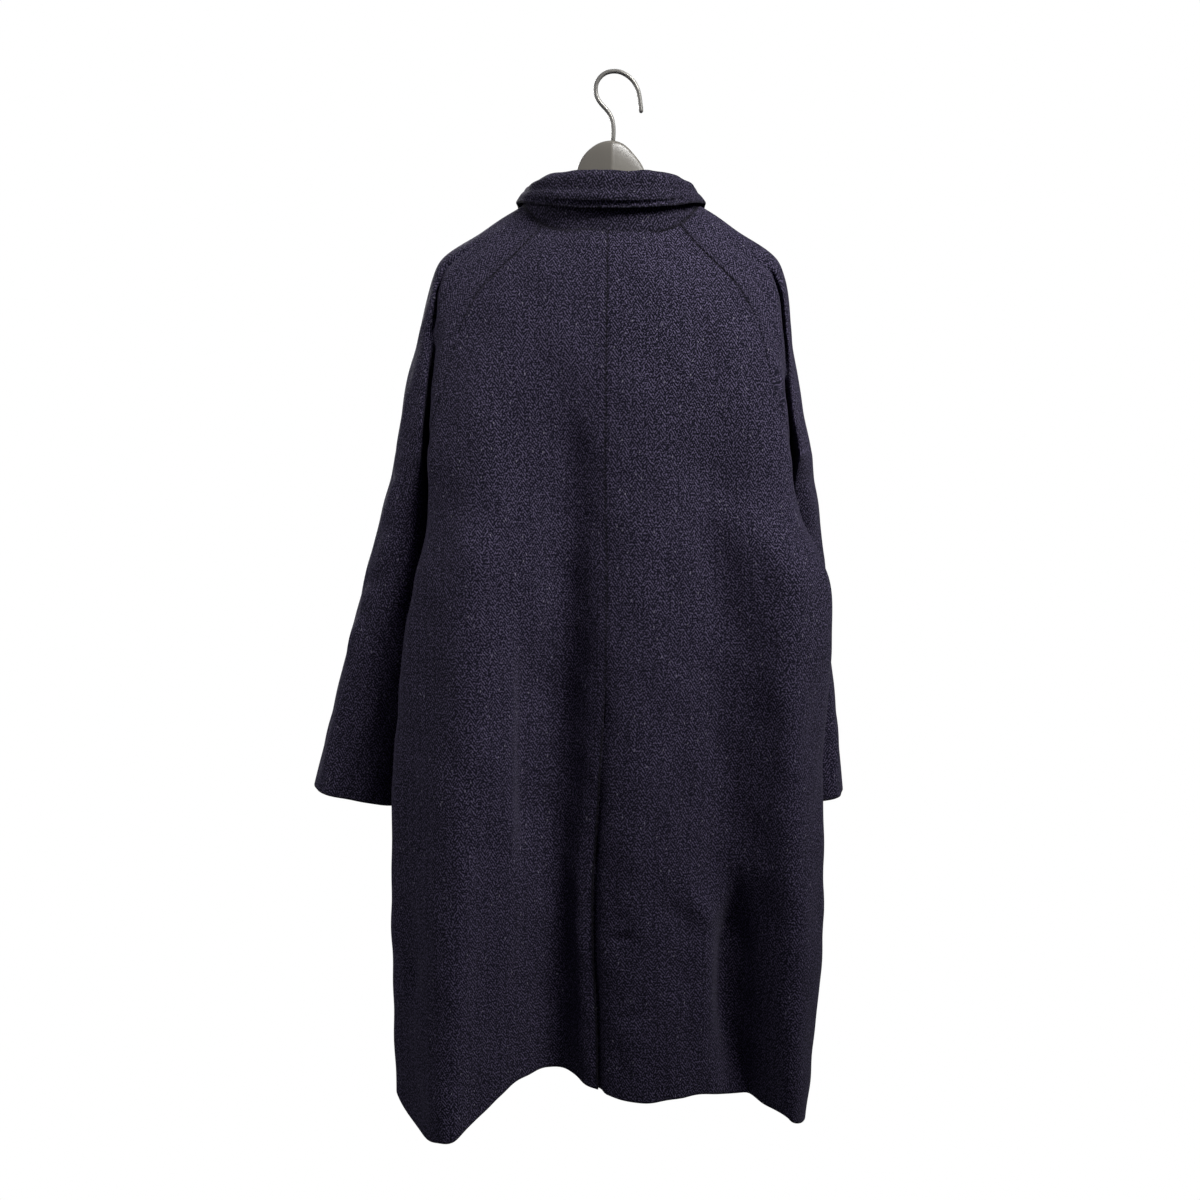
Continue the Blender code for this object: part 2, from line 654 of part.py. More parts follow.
def build_hanger(collection, grids, normals, plastic, steel):
    """A moulded hanger: a domed head, two swept arms under the shoulders, and a wire hook."""
    around = np.linspace(0, 2 * math.pi, HANGER_SIDES, endpoint=False)
    points = []
    for x, centre, top, height, thick in hanger_sections(grids, normals):
        ring_y = np.sign(np.sin(around)) * np.abs(np.sin(around)) ** HANGER_FLATNESS * thick / 2
        ring_z = np.cos(around) * height / 2
        points.append(np.stack([around * 0 + x, centre + ring_y, top - height / 2 + ring_z], axis=1))
    points = np.array(points)
    last = (len(points) - 1) * HANGER_SIDES
    faces = [tuple(range(HANGER_SIDES)), tuple(reversed(range(last, last + HANGER_SIDES)))]
    for first in range(0, last, HANGER_SIDES):
        second = first + HANGER_SIDES
        for corner in range(HANGER_SIDES):
            after = (corner + 1) % HANGER_SIDES
            faces.append((first + corner, second + corner, second + after, first + after))
    mesh = bpy.data.meshes.new("hanger_body")
    mesh.from_pydata(points.reshape(-1, 3).tolist(), [], faces)
    shape = bmesh.new()
    shape.from_mesh(mesh)
    bmesh.ops.recalc_face_normals(shape, faces=shape.faces)
    shape.to_mesh(mesh)
    shape.free()
    mesh.shade_smooth()
    add(collection, "hanger_body", mesh, plastic)

    wire = bpy.data.curves.new("hanger_hook", "CURVE")
    wire.dimensions = "3D"
    wire.bevel_depth = HOOK_WIRE
    wire.bevel_resolution = HOOK_ROUNDING
    wire.use_fill_caps = True
    wire.resolution_u = HOOK_STEPS
    spline = wire.splines.new("BEZIER")
    spline.bezier_points.add(len(HOOK["x"]) - 1)
    for knot, x, z in zip(spline.bezier_points, HOOK["x"], HOOK["z"]):
        knot.co = (x, 0, z)
        knot.handle_left_type = knot.handle_right_type = "AUTO"
    add(collection, "hanger_hook", wire, steel)


def main():
    for old in list(bpy.data.objects):
        bpy.data.objects.remove(old, do_unlink=True)
    collection = bpy.data.collections.new("tweed_coat")
    bpy.context.scene.collection.children.link(collection)
    tweed = material("tweed", (0.018, 0.015, 0.026), 0.95)
    horn = material("horn", (0.020, 0.016, 0.016), 0.35)
    plastic = material("plastic", (0.12, 0.115, 0.105), 0.3)
    steel = material("steel", (0.62, 0.61, 0.58), 0.2, 1.0)
    grids = garment_grids()
    normals = garment_normals(grids)
    build_backs(collection, grids, normals, tweed)
    build_fronts(collection, grids, normals, tweed)
    build_sleeves(collection, grids, normals, tweed)
    build_collar(collection, tweed)
    build_buttons(collection, grids, normals, horn)
    build_hanger(collection, grids, normals, plastic, steel)


if __name__ == "__main__":
    main()
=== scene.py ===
"""A long raglan tweed coat on a hanger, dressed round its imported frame.

Metres, +Z up, as in the frame. The coat's back faces +Y, so the wearer's left is +X.
Every cloth piece is a grid of points lofted through rings of the shoulders, the body and the
sleeves. Creases are laid on it in its own sizes, and it then gets its thickness and a round rim.
"""
import functools
import math

import bpy
import numpy as np
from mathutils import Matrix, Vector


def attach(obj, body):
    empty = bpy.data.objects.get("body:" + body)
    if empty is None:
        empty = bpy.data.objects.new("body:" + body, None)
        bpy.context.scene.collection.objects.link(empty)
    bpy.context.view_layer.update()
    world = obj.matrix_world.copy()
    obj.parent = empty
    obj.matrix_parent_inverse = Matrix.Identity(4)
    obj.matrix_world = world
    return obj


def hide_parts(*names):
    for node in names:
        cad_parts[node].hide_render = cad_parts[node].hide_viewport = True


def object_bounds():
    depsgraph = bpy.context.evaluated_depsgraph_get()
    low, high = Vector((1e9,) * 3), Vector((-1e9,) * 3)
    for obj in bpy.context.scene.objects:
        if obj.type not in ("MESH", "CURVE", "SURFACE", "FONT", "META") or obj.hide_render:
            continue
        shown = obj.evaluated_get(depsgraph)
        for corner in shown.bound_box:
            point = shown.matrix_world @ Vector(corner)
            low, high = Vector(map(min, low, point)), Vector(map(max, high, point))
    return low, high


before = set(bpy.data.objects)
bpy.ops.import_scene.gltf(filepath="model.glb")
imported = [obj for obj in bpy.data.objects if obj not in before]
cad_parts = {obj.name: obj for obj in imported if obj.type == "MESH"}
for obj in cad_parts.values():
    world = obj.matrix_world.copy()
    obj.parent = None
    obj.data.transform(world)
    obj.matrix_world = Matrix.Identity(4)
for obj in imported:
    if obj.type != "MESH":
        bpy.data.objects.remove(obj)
CAD_BOX = [list(corner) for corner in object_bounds()]

bl_info = {
    "name": "Tweed coat on a hanger",
    "version": (1, 0, 0),
    "blender": (4, 5, 0),
    "location": "View3D > Sidebar > Coat",
    "description": "Makes the cloth, the buttons and the hanger of a long raglan tweed coat",
    "category": "Object",
}

# Seams and laps
SEAM_CLOSING = 0.00015
LAP_CLEARANCE = 0.0007
FRONT_LAP = 0.040
LAP_EASE = 0.030

# Drawing of the rings
SHOULDER = 0.200
SWEEP = 0.020
NECK_RISE = 5.0
CREASE_TURN = math.radians(1.6)
CREASE_LIP = math.radians(4.4)
PANEL_REACH = 0.90
SLEEVE_REACH = 0.35
SLEEVE_SIDE = math.radians(60)
SLEEVE_SQUARE = 2.7
FADE_POWER = 12
BODY_BLEND = 0.17
SLEEVE_BLEND = 0.32
DENSE = 241

# Where the weave's pattern starts on the flat cloth
GRAIN_START = np.array([1.3717, 2.6183])

# Rows and steps of the grids before their points are spaced out again
YOKE_ROWS = 61
BODY_ROWS = 165
SLEEVE_ROWS = 96
PANEL_STEPS = 144
PANEL_SIDE_STEPS = 48
SLEEVE_STEPS = 120
SLEEVE_SIDE_STEPS = 48
VENT_LAP_STEPS = 24
FRONT_LAP_STEPS = 24
VENT_TOP_SHARE = 0.4
SOFTENING = 12

# Laying the cloth flat: how coarse a grid settles, how many times and by what share of each step
SETTLE_ROWS = 3
SETTLE_COLUMNS = 6
SETTLING = 1500
SETTLE_SHARE = 0.1
LEAST_ACROSS = 0.25

# Points across each finished piece, close together near its edges
EDGE_STEPS = np.array([0.0, 0.0009, 0.0020, 0.0033, 0.0047, 0.0060, 0.0078])
BACK_MIDDLE = 104
FRONT_MIDDLE = 62
SLEEVE_MIDDLE = 140
VENT_LAP_MIDDLE = 9
RIM_STEPS = 4

# Heights of the hem and the levels where folds begin
ARMPIT = -0.450
HEM_FRONT = -1.195
HEM_SIDE_LEFT = -1.206
HEM_SIDE_RIGHT = -1.222
FOLD_START = 0.55


def table(columns, *rows):
    """A short table as one array for each named column."""
    return dict(zip(columns.split(), np.array(rows, float).T))


# Rings of the shoulders, from the neck seam (level 0) to the armpit (level 1).
# left and right are half widths, crease and seam are shares of the half width.
YOKE = table(
    "level left   right  back   front  square back_z  side_z  front_z drift"
    " pinch crease_left crease_right seam_left seam_right",
    (0.00, 0.104, 0.100, 0.058, -0.072, 2.2, -0.185, -0.146, -0.235, 0.006, 0.00, 0.95, 0.90, 0.75, 0.78),
    (0.14, 0.150, 0.145, 0.072, -0.088, 2.3, -0.215, -0.176, -0.262, 0.007, 0.00, 0.95, 0.90, 0.710, 0.740),
    (0.28, 0.193, 0.186, 0.082, -0.096, 2.5, -0.250, -0.200, -0.292, 0.007, 0.10, 0.95, 0.930, 0.730, 0.760),
    (0.42, 0.212, 0.203, 0.088, -0.101, 2.7, -0.280, -0.223, -0.318, 0.008, 0.24, 0.95, 0.945, 0.755, 0.785),
    (0.56, 0.222, 0.210, 0.093, -0.104, 3.0, -0.312, -0.258, -0.345, 0.008, 0.34, 0.93, 0.950, 0.780, 0.825),
    (0.72, 0.236, 0.215, 0.098, -0.108, 3.4, -0.360, -0.317, -0.385, 0.009, 0.48, 0.885, 0.945, 0.79, 0.855),
    (0.87, 0.250, 0.225, 0.100, -0.110, 3.7, -0.408, -0.376, -0.420, 0.009, 0.72, 0.85, 0.925, 0.815, 0.89),
    (1.00, 0.259, 0.237, 0.100, -0.110, 4.0, -0.450, -0.436, -0.455, 0.010, 0.98, 0.83, 0.91, 0.83, 0.91),
)

# Level sections of the body, from the armpit (drop 0) to the hem (drop 1).
# back, side and front are half widths at the back turn, the side seam and the front turn.
BODY = table(
    "drop back_y front_y back_left back_right side_left side_right front_left front_right"
    " back_turn front_turn square drift",
    (0.00, 0.100, -0.110, 0.208, 0.204, 0.200, 0.188, 0.200, 0.186, 0.045, -0.064, 4.0, 0.0085),
    (0.12, 0.103, -0.113, 0.223, 0.242, 0.200, 0.180, 0.202, 0.180, 0.045, -0.066, 3.4, 0.0080),
    (0.21, 0.105, -0.115, 0.238, 0.2568, 0.202, 0.178, 0.202, 0.178, 0.045, -0.068, 3.0, 0.0080),
    (0.30, 0.107, -0.117, 0.248, 0.256, 0.205, 0.174, 0.202, 0.174, 0.045, -0.070, 2.8, 0.0090),
    (0.40, 0.107, -0.118, 0.256, 0.251, 0.210, 0.172, 0.205, 0.172, 0.045, -0.072, 2.6, 0.0120),
    (0.55, 0.104, -0.120, 0.263, 0.251, 0.218, 0.176, 0.212, 0.175, 0.045, -0.075, 2.5, 0.0190),
    (0.70, 0.098, -0.121, 0.2645, 0.253, 0.234, 0.200, 0.224, 0.194, 0.045, -0.076, 2.5, 0.0243),
    (0.86, 0.090, -0.121, 0.2645, 0.2445, 0.242, 0.212, 0.230, 0.206, 0.045, -0.077, 2.5, 0.0208),
    (1.00, 0.082, -0.120, 0.262, 0.2355, 0.244, 0.218, 0.232, 0.210, 0.045, -0.077, 2.5, 0.0180),
)

# Largest folds: where each lies across the coat at its top and at the hem, and how far it
# stands out (ridge, positive) or in (trough, negative) at the hem.
BACK_FOLDS = table(
    "x_top   x_hem   width  depth",
    (0.140, 0.192, 0.046, 0.058),
    (0.048, 0.073, 0.040, -0.031),
    (-0.030, -0.034, 0.050, 0.014),
    (-0.108, -0.137, 0.032, -0.020),
    (-0.185, -0.226, 0.034, 0.042),
)
FRONT_FOLDS = table(
    "x_top   x_hem   width  depth",
    (0.150, 0.180, 0.034, 0.016),
    (0.095, 0.118, 0.040, -0.016),
    (0.048, 0.060, 0.038, 0.020),
    (-0.070, -0.078, 0.036, 0.018),
    (-0.112, -0.130, 0.030, -0.014),
    (-0.140, -0.172, 0.030, 0.012),
)

# Height of the back hem across the coat
HEM_BACK = table(
    "x z",
    (-0.236, -1.2455),
    (-0.200, -1.2265),
    (-0.170, -1.2230),
    (-0.138, -1.2105),
    (-0.080, -1.2020),
    (-0.020, -1.2040),
    (0.020, -1.1945),
    (0.073, -1.1800),
    (0.100, -1.1835),
    (0.134, -1.2000),
    (0.166, -1.2250),
    (0.200, -1.2365),
    (0.228, -1.2360),
    (0.263, -1.2100),
)

# Sleeve sections from the armpit (share 0) to the cuff (share 1)
SLEEVE_LEFT = table(
    "share outer  inner  back   front  outer_z inner_z",
    (0.00, 0.260, 0.206, 0.052, -0.115, -0.440, -0.450),
    (0.25, 0.287, 0.217, 0.040, -0.118, -0.540, -0.555),
    (0.50, 0.316, 0.223, 0.031, -0.112, -0.643, -0.662),
    (0.75, 0.344, 0.236, 0.018, -0.102, -0.746, -0.768),
    (1.00, 0.371, 0.254, 0.010, -0.092, -0.850, -0.872),
)
SLEEVE_RIGHT = table(
    "share outer  inner  back   front  outer_z inner_z",
    (0.00, 0.240, 0.208, 0.046, -0.118, -0.440, -0.450),
    (0.12, 0.249, 0.200, 0.024, -0.124, -0.490, -0.500),
    (0.25, 0.258, 0.196, 0.008, -0.130, -0.545, -0.555),
    (0.50, 0.268, 0.192, -0.003, -0.136, -0.650, -0.662),
    (0.75, 0.281, 0.192, -0.006, -0.130, -0.756, -0.770),
    (1.00, 0.291, 0.197, -0.008, -0.122, -0.861, -0.874),
)

# Creases, listed one by one. A line runs from (from_x, from_d) to (to_x, to_d): x across the coat and d
# down from the armpit line, or on a sleeve the distance round it from its outer line and along it.
# bow bends the line sideways, lean makes one side steeper, and open keeps its end at full depth.
CREASE_COLUMNS = "from_x from_d to_x to_d bow width depth lean open"
BACK_CREASES = table(
    CREASE_COLUMNS,
    # the sharp fold at the lower right and the hollow beside it
    (-0.152, 0.465, -0.150, 0.745, 0.018, 0.027, -0.018, -0.62, 1),
    (-0.152, 0.465, -0.150, 0.745, 0.018, 0.008, -0.005, -0.4, 1),
    (-0.118, 0.460, -0.118, 0.745, 0.014, 0.014, 0.006, 0.0, 1),
    # the slanting ridge above it and small drags beside the vent
    (-0.086, 0.490, -0.122, 0.545, 0.002, 0.008, 0.0035, 0.3, 0),
    (-0.060, 0.500, -0.100, 0.575, -0.004, 0.013, -0.003, 0.0, 0),
    (0.004, 0.552, -0.026, 0.546, 0.002, 0.005, -0.0030, 0.2, 0),
    (0.006, 0.530, -0.020, 0.524, 0.000, 0.006, -0.0020, 0.0, 0),
    (-0.004, 0.652, -0.036, 0.640, 0.002, 0.007, -0.0022, 0.0, 0),
    # soft drags on the upper back
    (-0.025, -0.240, -0.090, -0.228, 0.004, 0.010, -0.0018, 0.2, 0),
    (0.020, -0.236, 0.080, -0.226, 0.004, 0.012, -0.0010, 0.0, 0),
    (0.120, -0.060, 0.135, 0.180, 0.006, 0.024, 0.0030, 0.2, 0),
    (0.050, -0.110, 0.066, 0.420, -0.004, 0.024, -0.0105, 0.0, 0),
    (-0.048, -0.020, -0.040, 0.300, 0.004, 0.028, 0.0024, 0.2, 0),
    (-0.098, -0.080, -0.112, 0.240, -0.004, 0.020, -0.0030, -0.2, 0),
    (-0.150, -0.070, -0.165, 0.190, 0.004, 0.020, 0.0026, 0.0, 0),
    # long soft folds of the skirt
    (0.100, 0.150, 0.100, 0.500, 0.000, 0.030, -0.0130, -0.6, 0),
    (0.196, 0.230, 0.205, 0.700, 0.006, 0.020, 0.0040, 0.2, 1),
    (0.150, 0.300, 0.165, 0.760, -0.006, 0.018, -0.0040, 0.0, 1),
    (0.110, 0.250, 0.122, 0.640, 0.006, 0.018, 0.0040, 0.3, 0),
    (0.060, 0.330, 0.062, 0.740, 0.004, 0.014, -0.0030, 0.2, 1),
    (-0.030, 0.280, -0.028, 0.500, 0.004, 0.020, 0.0030, 0.0, 0),
    (-0.076, 0.250, -0.078, 0.480, -0.004, 0.016, -0.0026, 0.0, 0),
    (-0.070, 0.600, -0.074, 0.740, 0.004, 0.018, 0.0035, 0.0, 1),
    (-0.196, 0.180, -0.205, 0.480, 0.004, 0.018, 0.0030, 0.2, 0),
    (0.225, 0.560, 0.236, 0.640, 0.004, 0.010, -0.0040, 0.0, 0),
)
FRONT_CREASES = table(
    CREASE_COLUMNS,
    (0.100, -0.150, 0.112, 0.220, 0.006, 0.022, -0.0040, 0.2, 0),
    (-0.092, -0.140, -0.104, 0.200, -0.006, 0.020, -0.0040, -0.2, 0),
    (0.060, -0.020, 0.070, 0.360, 0.004, 0.020, 0.0030, 0.0, 0),
    (-0.062, 0.020, -0.060, 0.420, 0.004, 0.022, 0.0030, 0.2, 0),
    (0.140, 0.240, 0.160, 0.740, 0.006, 0.018, 0.0045, 0.2, 1),
    (0.092, 0.300, 0.100, 0.740, -0.004, 0.016, -0.0045, 0.0, 1),
    (-0.110, 0.260, -0.122, 0.740, 0.006, 0.017, -0.0045, 0.2, 1),
    (-0.150, 0.220, -0.160, 0.740, -0.006, 0.018, 0.0040, 0.0, 1),
    (0.020, -0.020, 0.060, 0.020, 0.004, 0.010, -0.0018, 0.0, 0),
    (-0.150, -0.100, -0.110, -0.140, 0.004, 0.012, -0.0020, 0.0, 0),
    (0.150, -0.090, 0.110, -0.130, 0.004, 0.012, -0.0020, 0.0, 0),
)
SLEEVE_CREASES = table(
    CREASE_COLUMNS,
    (-0.085, 0.020, -0.030, 0.060, 0.004, 0.012, -0.0035, 0.2, 0),
    (-0.105, 0.085, -0.040, 0.120, 0.004, 0.014, -0.0036, 0.2, 0),
    (-0.090, 0.150, -0.030, 0.165, -0.004, 0.012, -0.0035, -0.2, 0),
    (-0.080, 0.200, -0.030, 0.215, 0.004, 0.016, -0.0026, 0.0, 0),
    (0.090, 0.040, 0.030, 0.090, 0.004, 0.013, -0.0040, 0.2, 0),
    (0.110, 0.120, 0.040, 0.150, -0.004, 0.015, -0.0036, 0.0, 0),
    (0.090, 0.200, 0.030, 0.240, 0.004, 0.014, -0.0030, 0.0, 0),
    (-0.060, 0.160, -0.055, 0.430, 0.006, 0.016, 0.0030, 0.2, 1),
    (-0.030, 0.230, -0.028, 0.430, -0.004, 0.016, -0.0024, 0.0, 1),
    (0.050, 0.180, 0.058, 0.430, 0.005, 0.018, 0.0030, 0.0, 1),
    (-0.010, -0.120, -0.005, 0.060, 0.004, 0.018, 0.0020, 0.0, 0),
)
CREASE_SEAM_FADE = 0.030
CREASE_TAPER = 0.35

# Slow unevenness of the cloth: wave lengths across and down, a shift and a height
RIPPLES = table(
    "across down   shift height",
    (0.061, 0.190, 0.4, 0.00050),
    (0.037, -0.130, 1.9, 0.00035),
    (0.110, 0.075, 3.1, 0.00040),
    (0.028, 0.062, 5.0, 0.00018),
)

# Edges and turnings
VENT_CREST = 0.0050
VENT_CREST_PLACE = 0.017
VENT_CREST_WIDTH = 0.011
VENT_ROLL = 0.0016
VENT_ROLL_WIDTH = 0.012
VENT_SINK = 0.0012
VENT_EASE = 0.011
VENT_EASE_ROWS = 16
VENT_OPEN_ROWS = 40
VENT_WAVE = 0.25
VENT_WAVE_ROWS = 9.0
HEM_EASE = 0.006
HEM_LAP_EASE = 0.02
WELT_RISE = 0.0007
WELT_WIDTH = 0.0046
STITCH_SINK = 0.0006
STITCH_WIDTH = 0.0009
# Painted shade: dark lines painted into the tweed's colour along the seams, the sleeve's stitching, the
# hems, the neck seam and the vent's free edge, where shade falls in their grooves and gaps. Their widths,
# strengths and the centre seam's dashes follow.
SEAM_LINE = 0.0011
PAINTED_SHADE_STRENGTH = 0.8
STITCH_PAINTED_SHADE = 0.5
HEM_PAINTED_SHADE = 0.6
NECK_PAINTED_SHADE = 0.95
NECK_LINE = 0.0030
DASH_LINE = 0.0009
DASH_LONG = 0.0085
DASH_FADE = 0.5
DASH_PAINTED_SHADE = 0.75
RAGLAN_PAINTED_SHADE = 0.7
RAGLAN_SHOWN = 0.30
RAGLAN_FADE = 0.35
RAGLAN_LEFT = 0.2

# Rings of the collar from the neck seam over the fold to the edge of the fall.
# opening is half the gap between the collar's ends at the front.
COLLAR = table(
    "share half   back   front  back_z  side_z  front_z opening rise back_rise",
    (0.00, 0.1006, 0.0566, -0.0704, -0.1846, -0.1448, -0.2345, 0.003, 4.0, 4.0),
    (0.20, 0.0910, 0.0545, -0.0670, -0.1560, -0.1355, -0.2180, 0.004, 4.2, 4.2),
    (0.42, 0.0800, 0.0510, -0.0630, -0.1255, -0.1325, -0.2040, 0.005, 6.5, 6.5),
    (0.50, 0.0840, 0.0550, -0.0670, -0.1202, -0.1270, -0.1990, 0.006, 7.5, 7.5),
    (0.58, 0.0910, 0.0597, -0.0740, -0.1225, -0.1265, -0.2030, 0.010, 7.0, 6.0),
    (0.80, 0.1020, 0.0640, -0.0920, -0.1430, -0.1345, -0.2360, 0.026, 5.0, 3.2),
    (1.00, 0.1122, 0.0665, -0.1070, -0.1628, -0.1455, -0.2700, 0.046, 4.2, 2.2),
)
COLLAR_SHIFT = 0.002
COLLAR_SQUARE = 2.2
COLLAR_ROWS = 161
COLLAR_COLUMNS = 181
COLLAR_MIDDLE = 52
COLLAR_FALL = 0.55
COLLAR_SEAM_STEPS = np.array([0.0, 0.002, 0.004])
COLLAR_EDGE_STEPS = np.array(
    [0.0018, 0.0030, 0.0042, 0.0054, 0.0062, 0.0069, 0.0076, 0.0084, 0.0095, 0.0112])
COLLAR_BAND = 0.0074
COLLAR_BAND_RISE = 0.0028
COLLAR_BAND_LONG = 0.105
COLLAR_FALL_EASE = 0.06
COLLAR_TUCK = 0.0055
COLLAR_TUCK_IN = 0.012
COLLAR_HOLLOW = 0.0032
COLLAR_HOLLOW_PLACE = 0.0125
COLLAR_HOLLOW_WIDTH = 0.0055
COLLAR_HOLLOW_LONG = 0.080
COLLAR_HOLLOW_SIDE = 0.026
# Painted shade in the collar's stitched groove, and painted shade over the whole collar except its raised
# band, which is left lighter as a painted highlight
GROOVE_PAINTED_SHADE = 0.4
COLLAR_PAINTED_SHADE = 0.25

# Buttons down the front, and a button's turned profile, from its middle over the rim to its back.
# radius is a share of the button's radius, rise a share of its thickness.
BUTTON_RADIUS = 0.0125
BUTTON_THICK = 0.0042
BUTTON_SEAT = 0.0009
BUTTON_HEIGHTS = (-0.315, -0.445, -0.575, -0.705)
BUTTON_PROFILE = table(
    "radius rise",
    (0.00, 0.70),
    (0.58, 0.70),
    (0.70, 0.78),
    (0.78, 0.96),
    (0.86, 1.00),
    (0.95, 0.92),
    (1.00, 0.62),
    (0.97, 0.30),
    (0.86, 0.05),
    (0.80, 0.00),
)
BUTTON_AROUND = 96
BUTTON_RINGS = 64
BUTTON_DISH_POINT = 2
BUTTON_HOLE_PLACE = 0.0021
BUTTON_HOLE_RADIUS = 0.00088
BUTTON_HOLE_EDGE = 0.00044
BUTTON_HOLE_DEPTH = 0.0022

# The hanger's head and neck; its arms follow the shoulders
HANGER = table(
    "x      top     height thick",
    (0.000, -0.0756, 0.1030, 0.0120),
    (0.012, -0.0772, 0.1015, 0.0120),
    (0.024, -0.0838, 0.0950, 0.0120),
    (0.033, -0.0925, 0.0870, 0.0120),
    (0.039, -0.1040, 0.0755, 0.0120),
    (0.042, -0.1180, 0.0620, 0.0120),
    (0.048, -0.1350, 0.0460, 0.0125),
    (0.060, -0.1465, 0.0365, 0.0130),
    (0.078, -0.1510, 0.0340, 0.0135),
)
HANGER_ARM = table(
    "x      height thick",
    (0.104, 0.0330, 0.0140),
    (0.125, 0.0310, 0.0140),
    (0.146, 0.0280, 0.0140),
    (0.167, 0.0240, 0.0140),
    (0.180, 0.0190, 0.0130),
    (0.186, 0.0110, 0.0090),
)
HANGER_CLEARANCE = 0.0009
HANGER_SHIFT = 0.002
HANGER_SECTIONS = 241
HANGER_AROUND = 48
HANGER_FLATNESS = 0.45
HANGER_ROOF = 0.0055
HANGER_ROOF_HALF = 0.040
HANGER_SLOPE = 0.0055
HANGER_SLOPE_PLACE = -0.031
HANGER_SLOPE_HALF = 0.015
HANGER_RIB = 0.0012
HANGER_RIB_HALF = 0.0016

# The hook's wire, from the hanger's head up and round to its tip
HOOK = table(
    "x      z",
    (0.0000, -0.0752),
    (0.0000, -0.0560),
    (0.0045, -0.0430),
    (0.0155, -0.0320),
    (0.0205, -0.0180),
    (0.0150, -0.0030),
    (0.0000, 0.0036),
    (-0.0160, -0.0010),
    (-0.0265, -0.0120),
    (-0.0312, -0.0280),
    (-0.0330, -0.0440),
)
HOOK_STEPS = 160
HOOK_AROUND = 20
HOOK_SOFTENING = 5
HOOK_TIP_LEAST = 0.04

# The tweed: grains are noise spots a metre, shares say how much each noise lightens the yarns
WOBBLE_GRAINS = 160.0
WOBBLE_ACROSS = 0.0016
WOBBLE_DOWN = 0.0012
YARN_GRAINS = 480.0
YARN_DETAIL = 1.5
YARN_SHARE = 5.6
HEATHER_GRAINS = 230.0
HEATHER_SHARE = 1.1
CLOUD_GRAINS = 16.0
CLOUD_SHARE = 0.25
TWILL_SHARE = 1.25
TWILL_LOSS = 0.17
WEAVE_LEVEL = 0.08
FLECK_STRETCH = (1.3, 0.6, 1.0)
FLECK_GRAINS = 380.0
FLECK_RARITY = 0.982
FLECK_SIZE = 0.32
FLECK_SHARE = 0.75
TWILL_RELIEF = 0.6
YARN_RELIEF = 1.2
RELIEF_STRENGTH = 0.5
RELIEF_DEPTH = 0.0006
TWEED_FINISH = {
    "Roughness": 0.92,
    "Specular IOR Level": 0.2,
    "Sheen Weight": 0.08,
    "Sheen Roughness": 0.5,
    "Sheen Tint": (0.55, 0.52, 0.68, 1),
}

# Hard finishes
HARD_DETAIL = 4.0
HARD_RELIEF_STRENGTH = 0.15
GLOSS_SPREAD = 0.16

# The stage. Each light has its place, what it faces and how wide it spreads.
LIGHT_SIZE = 0.9
LIGHTS = {
    "key": ((-1.05, 1.00, 1.00), (0.0, 0.05, -0.45), math.radians(54)),
    "fill": ((1.35, 0.26, -0.05), (0.2, 0.0, -0.60), math.radians(100)),
    "front": ((0.70, -1.70, 0.30), (0.0, 0.0, -0.55), math.radians(100)),
}
FLOOR_REACH = 30.0
FLOOR_GREY = (0.35, 0.35, 0.35, 1)
FLOOR_ROUGHNESS = 0.9
SURROUND_TINT = (0.70, 0.68, 1.5, 1)
SENSOR_WIDTH = 36.0


class CoatCloth(bpy.types.PropertyGroup):
    """Sizes and colours of the tweed."""

    thickness: bpy.props.FloatProperty(
        name="Cloth", description="Thickness of one layer of tweed", default=0.0022, unit="LENGTH")
    collar_thickness: bpy.props.FloatProperty(
        name="Collar", description="Thickness of the collar's two layers", default=0.0036, unit="LENGTH")
    hem_depth: bpy.props.FloatProperty(
        name="Hem depth", description="Depth of the turned-up hems", default=0.042, unit="LENGTH")
    hem_fullness: bpy.props.FloatProperty(
        name="Hem fullness", description="Thickness that a turned hem adds", default=0.0018, unit="LENGTH")
    herringbone: bpy.props.FloatProperty(
        name="Herringbone", description="Width of one slant of the herringbone", default=0.0070,
        unit="LENGTH")
    twill: bpy.props.FloatProperty(
        name="Twill", description="Distance between twill lines down the cloth", default=0.0049,
        unit="LENGTH")
    slant: bpy.props.FloatProperty(
        name="Slant", description="Rise of the twill lines for each metre across", default=1.46)
    dark_yarn: bpy.props.FloatVectorProperty(
        name="Dark yarn", description="Colour of the dark yarn", subtype="COLOR",
        default=(0.0021, 0.0018, 0.0084))
    light_yarn: bpy.props.FloatVectorProperty(
        name="Light yarn", description="Colour of the light yarn", subtype="COLOR",
        default=(0.104, 0.087, 0.151))
    fleck: bpy.props.FloatVectorProperty(
        name="Fleck", description="Colour of the pale flecks", subtype="COLOR", default=(0.25, 0.235, 0.29))


class CoatHardware(bpy.types.PropertyGroup):
    """Sizes and colours of the buttons and the hanger."""

    horn: bpy.props.FloatVectorProperty(
        name="Horn", description="Colour of the buttons", subtype="COLOR", default=(0.020, 0.015, 0.014))
    plastic: bpy.props.FloatVectorProperty(
        name="Plastic", description="Colour of the hanger", subtype="COLOR", default=(0.21, 0.196, 0.168))
    steel: bpy.props.FloatVectorProperty(
        name="Steel", description="Colour of the hook", subtype="COLOR", default=(0.34, 0.33, 0.30))
    wire: bpy.props.FloatProperty(
        name="Wire", description="Radius of the hook's wire", default=0.0026, unit="LENGTH")


